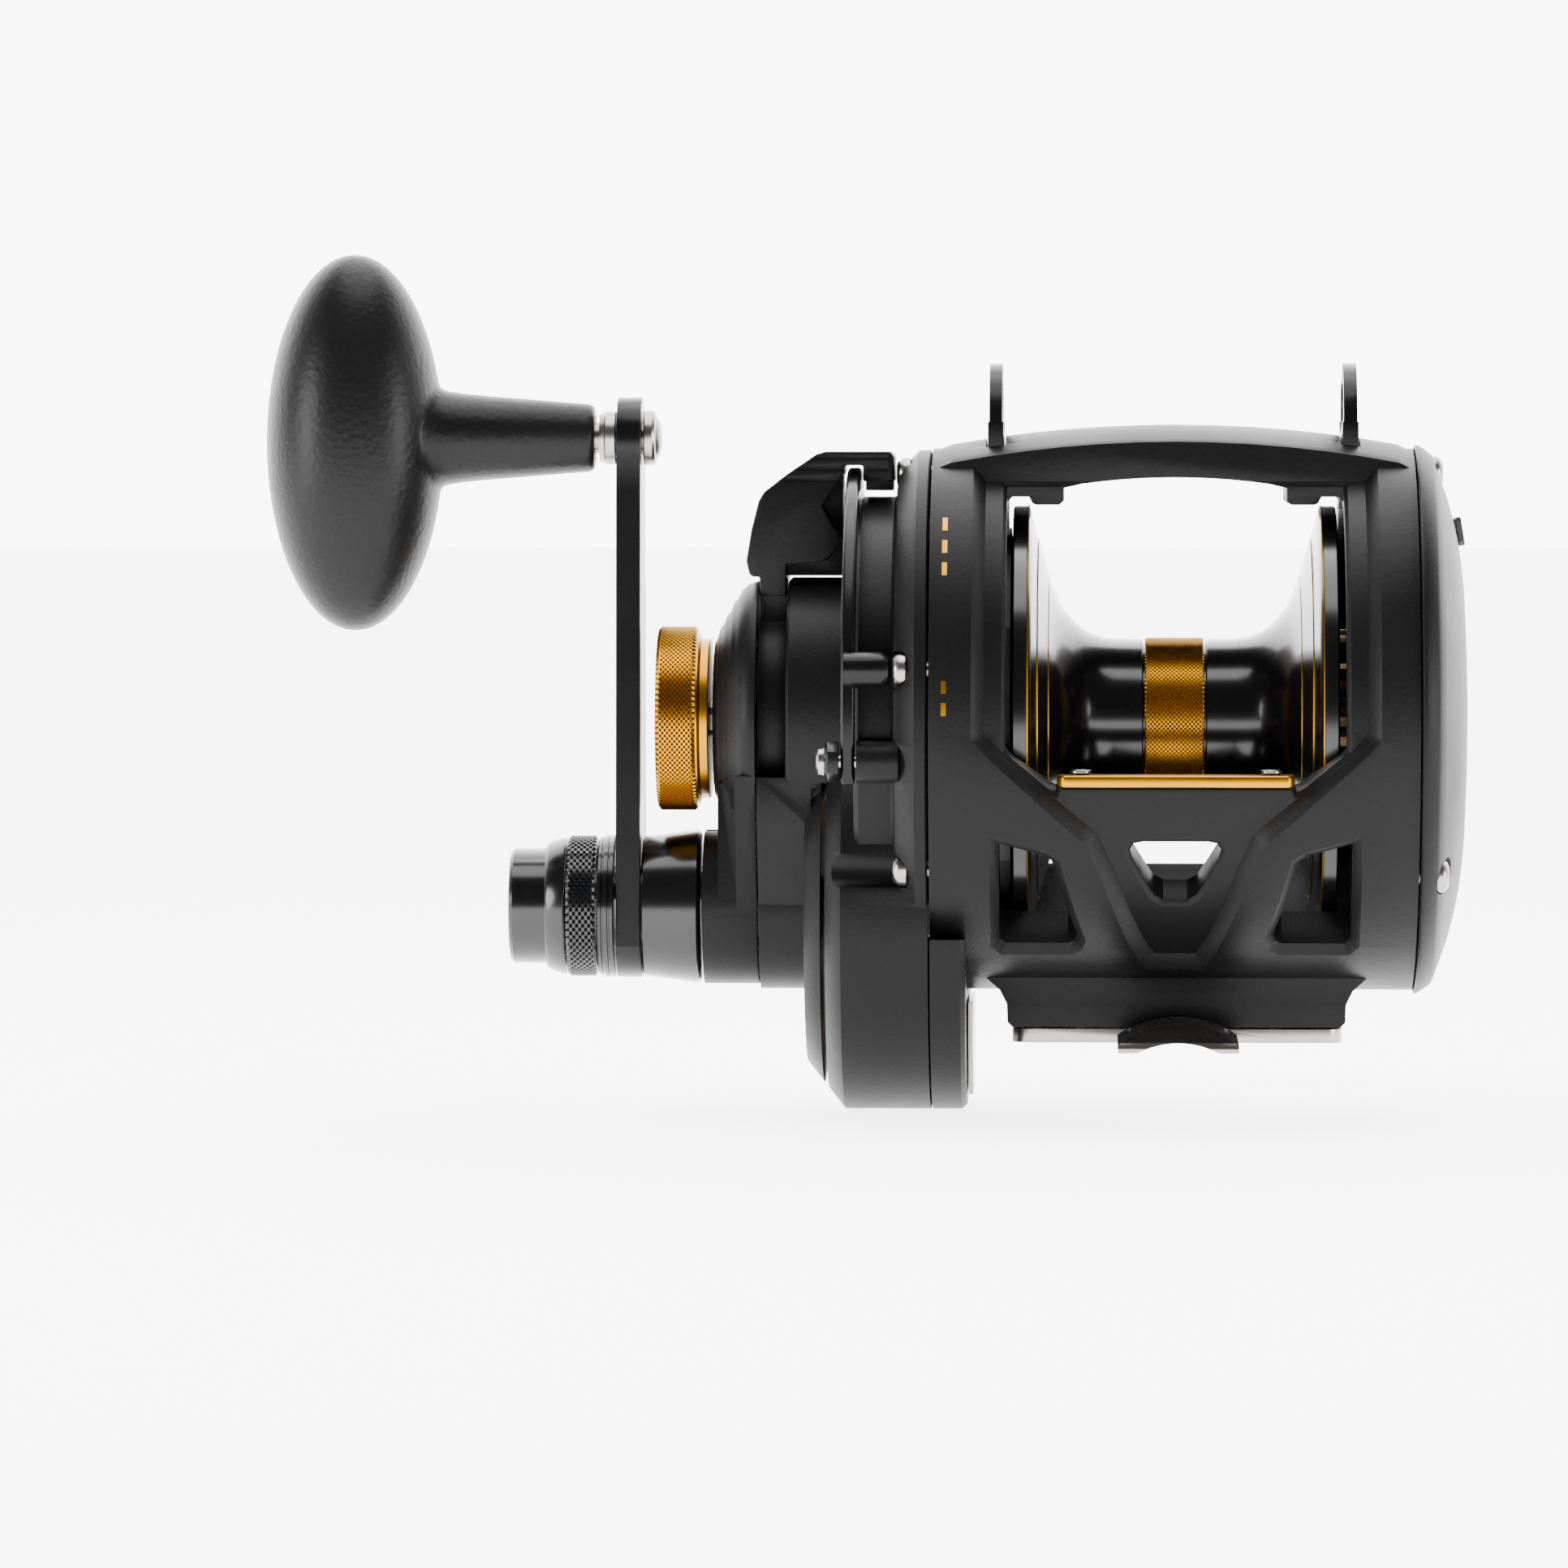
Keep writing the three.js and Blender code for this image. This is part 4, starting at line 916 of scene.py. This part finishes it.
def makeLever():
    thumb = [(-68.7, 23.6), (-69.2, 25.7), (-68.4, 30.6), (-67.2, 35.4), (-66.3, 36.9), (-62.4, 39.9),
             (-57.8, 43.0), (-56.4, 43.4), (-45.9, 43.4), (-45.3, 42.6), (-45.3, 38.6), (-50.3, 38.6),
             (-50.3, 41.2), (-53.4, 41.2), (-53.4, 40.0), (-56.9, 34.6), (-53.6, 28.8), (-56.2, 25.9),
             (-57.4, 25.5), (-62.7, 25.2), (-62.7, 20), (-67.0, 20), (-67.0, 23.2), (-68.2, 23.2)]
    half = leverPiece["half"]
    piece = platePiece("dragLever", thumb, "y", -half, half, (0, spoolZ))
    rounded(piece, 0.9, 2, 20)
    arm = [(-8.0, 0), (8.0, 0), (8.0, 24.0), (-8.0, 24.0)]
    joinTo(piece, platePiece("arm", arm, "x", -66.9, -62.8, (0, spoolZ)))
    joinTo(piece, rodPiece("hubDisc", leverPiece["left"], leverPiece["right"], 17.8, 96))
    for height in leverPiece["ridges"]:
        slantLeft = -59 - (leverPiece["top"] - height) * 1.5
        low, high = height - leverPiece["ridgeHalf"], height + leverPiece["ridgeHalf"]
        cut = [(slantLeft, low), (-56, low), (-46.2, low), (-46.2, high), (slantLeft, high)]
        cutBy(piece, platePiece("cutter", cut, "y", -half - 1, -half + 0.5, (0, spoolZ)))
    core = [(-62.7, 23.3), (-53.7, 23.3), (-53.7, 41.1), (-58.6, 41.1), (-62.7, 38.2)]
    front, rear = leverPiece["coreFront"], leverPiece["coreBack"]
    joinTo(piece, platePiece("core", core, "y", front, rear, (0, spoolZ)))
    joinTo(piece, blockPiece("lip", (-50.0, front, spoolZ + 37.1), (-45.6, rear, spoolZ + 39.2)))
    cutBy(piece, rodPiece("cutter", -70, -60, 5.0, 48))
    cleaned(piece, 0.01)
    rounded(piece, 0.2, 2, 40)
    smoothed(piece, 35)
    return placed(piece, "lever", "moulded_black", mouldedBlack, "lever")


makeLever()
print("lever made")


def knurledRing(name, low, high, radius, inner, aroundCount, rows, depth, edge, z=spoolZ):
    # A sleeve whose outer skin is a grid, drawn in along two sets of crossing grooves.
    perDiamond, slope = 4, 0.75
    length = high - low
    skin = [(low + edge + (length - 2 * edge) * i / (rows * perDiamond), radius)
            for i in range(rows * perDiamond + 1)]
    profile = [(low, inner), (low, radius - edge)] + skin + [(high, radius - edge), (high, inner)]
    piece = spunPiece(name, profile, aroundCount * perDiamond, 0, z)
    start = low + edge
    for vertex in piece.data.vertices:
        x, y, height = vertex.co.x / mm, vertex.co.y / mm, vertex.co.z / mm - z
        reach = sqrt(y * y + height * height)
        if reach < radius - 0.01:
            continue
        turn = atan2(y, height) / (2 * pi) * aroundCount
        along = (x - start) / (length - 2 * edge) * rows
        first, second = (turn + along) % 1, (turn - along) % 1
        rise = min(abs(first - 0.5), abs(second - 0.5)) * -2 + 1
        drop = depth * (1 - min(rise, slope) / slope)
        scale = (reach - drop) / reach
        vertex.co.y, vertex.co.z = y * scale * mm, (z + height * scale) * mm
    return smoothed(piece, 20)


placed(knurledRing("spoolBand", -4.75, 4.75, 13.2, 12.35, 110, 13, 0.34, 0.2),
       "spool", "gold_anodised", goldAnodised, "spool_band")


def makePresetKnob():
    rim = knurledRing("presetRim", -83.7, -77.3, 14.95, 9.0, 100, 7, 0.55, 0.5)
    placed(rim, "preset_knob", "gold_anodised", goldAnodised)
    profile = [(-83.5, 3.3), (-83.5, 12.6), (-83.2, 13.0), (-77.6, 14.0), (-77.0, 13.9), (-76.8, 13.4),
               (-76.6, 13.0), (-75.4, 13.0), (-75.2, 12.8), (-75.2, 3.3)]
    core = smoothed(spunPiece("presetKnob", profile, 128), 35)
    placed(core, "preset_knob", "gold_anodised", goldAnodised, "preset_knob")


makePresetKnob()
print("knurled rings made")


spoolShape = {"flange": 34.6, "outer": 26.0, "lines": ((23.55, 34.62), (22.0, 29.3), (20.3, 23.3))}


def makeSpool():
    flange, outer = spoolShape["flange"], spoolShape["outer"]
    right = [(5.05, 12.2), (5.05, 12.8), (5.25, 12.95), (9.8, 13.05), (11.8, 13.3), (13.5, 13.9),
             (15.1, 14.9), (16.4, 16.1), (17.5, 17.4), (18.5, 18.9), (19.4, 20.8), (20.2, 23.1),
             (21.1, 26.2), (22.0, 29.3), (22.8, 32.2), (23.3, 34.2), (23.7, flange), (25.7, flange),
             (outer, 34.3), (outer, 33.2), (24.4, 32.2), (22.8, 24), (19.7, 14.5), (18.2, 11),
             (18.2, 8.6), (12.4, 8.6), (12.4, 5.0)]
    left = [(-x, radius) for x, radius in reversed(right)]
    piece = smoothed(spunPiece("spoolBody", left + right, 160), 35)
    placed(piece, "spool", "gloss_black", glossBlack, "spool")
    for number, (x, radius) in enumerate(spoolShape["lines"]):
        for hand in (-1, 1):
            profile = [(hand * (x - 0.09), radius - 0.5), (hand * (x - 0.13), radius + 0.04),
                       (hand * (x + 0.05), radius + 0.12), (hand * (x + 0.22), radius - 0.4)]
            line = spunPiece(f"flangeLine{number}{'L' if hand < 0 else 'R'}", profile, 128)
            placed(smoothed(line), "spool", "gold_anodised", goldAnodised)


makeSpool()
print("spool made")


crank = {"length": gripZ - crankZ, "left": -90.3, "right": -86.4, "lowRadius": 11.6, "highRadius": 7.2}


def makeHandleArm():
    length = crank["length"]
    lowEnd = arcPoints(0, 0, crank["lowRadius"], 180 + 31.5, 360 - 31.5, 24)
    highEnd = arcPoints(0, length - 0.6, crank["highRadius"], -17, 197, 24)
    outline = (lowEnd + [(9.6, 8), (9.2, 16), (7.6, length - 9)] + highEnd
               + [(-7.6, length - 9), (-9.2, 16), (-9.6, 8)])
    piece = platePiece("handleArm", outline, "x", crank["left"], crank["right"], (0, crankZ))
    cutBy(piece, rodPiece("cutter", -95, -80, 6.7, 64, 0, crankZ))
    cutBy(piece, rodPiece("cutter", -95, -80, 2.9, 48, 0, gripZ))
    rounded(piece, 0.5, 3, 38)
    smoothed(piece)
    return placed(piece, "handle", "gloss_black", satinBlack, "handle_arm")


def turnedPiece(name, profile, body, slot, material, node, z, steps=128, angle=30):
    piece = smoothed(spunPiece(name, profile, steps, 0, z), angle)
    return placed(piece, body, slot, material, node)


makeHandleArm()
turnedPiece("handleCollar", [(-86.2, 6.6), (-86.2, 11.1), (-85.9, 11.4), (-78.0, 12.4), (-77.2, 12.45),
                             (-76.9, 12.2), (-76.7, 11.8), (-76.7, 6.6)],
            "handle", "gloss_black", glossBlack, "handle_collar", crankZ)
turnedPiece("armNut", [(-93.4, 6.6), (-93.4, 11.1), (-93.2, 11.3), (-92.75, 11.3), (-92.65, 11.0),
                       (-92.45, 11.0), (-92.35, 11.6), (-91.7, 11.6), (-91.6, 11.2), (-91.4, 11.2),
                       (-91.3, 11.6),
                       (-90.8, 11.6), (-90.6, 11.4), (-90.6, 6.6)],
            "handle", "gloss_black", glossBlack, "arm_nut", crankZ)
placed(knurledRing("shiftRing", -98.4, -93.7, 11.45, 9.9, 54, 4, 0.5, 0.4, crankZ),
       "shift_ring", "gloss_black", glossBlack, "shift_ring")
turnedPiece("handleCap", [(-101.9, 9.75), (-101.9, 10.0), (-101.3, 10.55), (-98.9, 11.15), (-98.7, 11.0),
                          (-98.7, 9.75)],
            "handle", "gloss_black", glossBlack, "handle_cap", crankZ)
turnedPiece("shiftButton", [(-107.9, 0), (-107.9, 8.5), (-107.7, 9.0), (-107.2, 9.35), (-101.6, 9.4),
                            (-101.6, 1.6), (-52, 1.6), (-52, 0)],
            "shift_button", "gloss_black", glossBlack, "shift_button", crankZ)
print("crank made")


grip = {"middle": (-133.3, 0, -0.8), "half": (14.4, 15.0, 30.6), "voxel": 0.45}


def makeGrip():
    deselectAll()
    middle = Vector(grip["middle"]) + Vector((0, 0, gripZ))
    bpy.ops.mesh.primitive_uv_sphere_add(segments=96, ring_count=64, radius=1, location=middle * mm)
    piece = bpy.context.object
    piece.name = "gripKnob"
    piece.scale = Vector(grip["half"]) * mm
    settle(piece)
    profile = [(-136, 0), (-136, 9.5), (-122.6, 9.5), (-120.4, 8.5), (-118.6, 7.75), (-116, 7.3),
               (-112, 6.9), (-94.6, 5.5), (-94.1, 5.0), (-94.0, 0)]
    joinTo(piece, spunPiece("stem", profile, 96, 0, gripZ))
    makeActive(piece)
    piece.data.remesh_voxel_size = grip["voxel"] * mm
    bpy.ops.object.voxel_remesh()
    makeActive(piece)
    applyModifier(piece, "SMOOTH", factor=0.6, iterations=14)
    cutBy(piece, rodPiece("cutter", -126, -90, 3.6, 64, 0, gripZ))
    bpy.ops.object.shade_smooth()
    smoothed(piece, 60)
    return placed(piece, "grip", "soft_grip", softGrip, "knob_grip")


makeGrip()
turnedPiece("gripSpindle", [(-125.4, 0), (-125.4, 3.2), (-123.6, 3.2), (-123.6, 2.5), (-86.1, 2.5),
                            (-86.1, 4.3), (-85.9, 4.45), (-84.7, 4.45), (-84.3, 4.2), (-84.1, 3.4),
                            (-83.6, 2.9), (-83.25, 1.6), (-83.2, 0)],
            "grip", "stainless", stainless, "knob_spindle", gripZ, 64)
turnedPiece("spindleWasher", [(-93.3, 2.8), (-93.3, 3.9), (-92.5, 4.1), (-92.3, 4.3), (-90.8, 4.3),
                              (-90.6, 4.1), (-90.6, 2.8)],
            "grip", "stainless", stainless, "spindle_washer", gripZ, 64)
print("grip made")


slotFinish = {"moulded_black": mouldedBlack, "gloss_black": glossBlack, "gold_anodised": goldAnodised,
              "stainless": stainless, "gear_bronze": bronze, "soft_grip": softGrip,
              "drag_carbon": dragCarbon}
for part in frame["record"]["subparts"]:
    node = frame["nodes"][part["node"]]
    node.data.materials.clear()
    node.data.materials.append(slotFinish[part["material_slot"]])
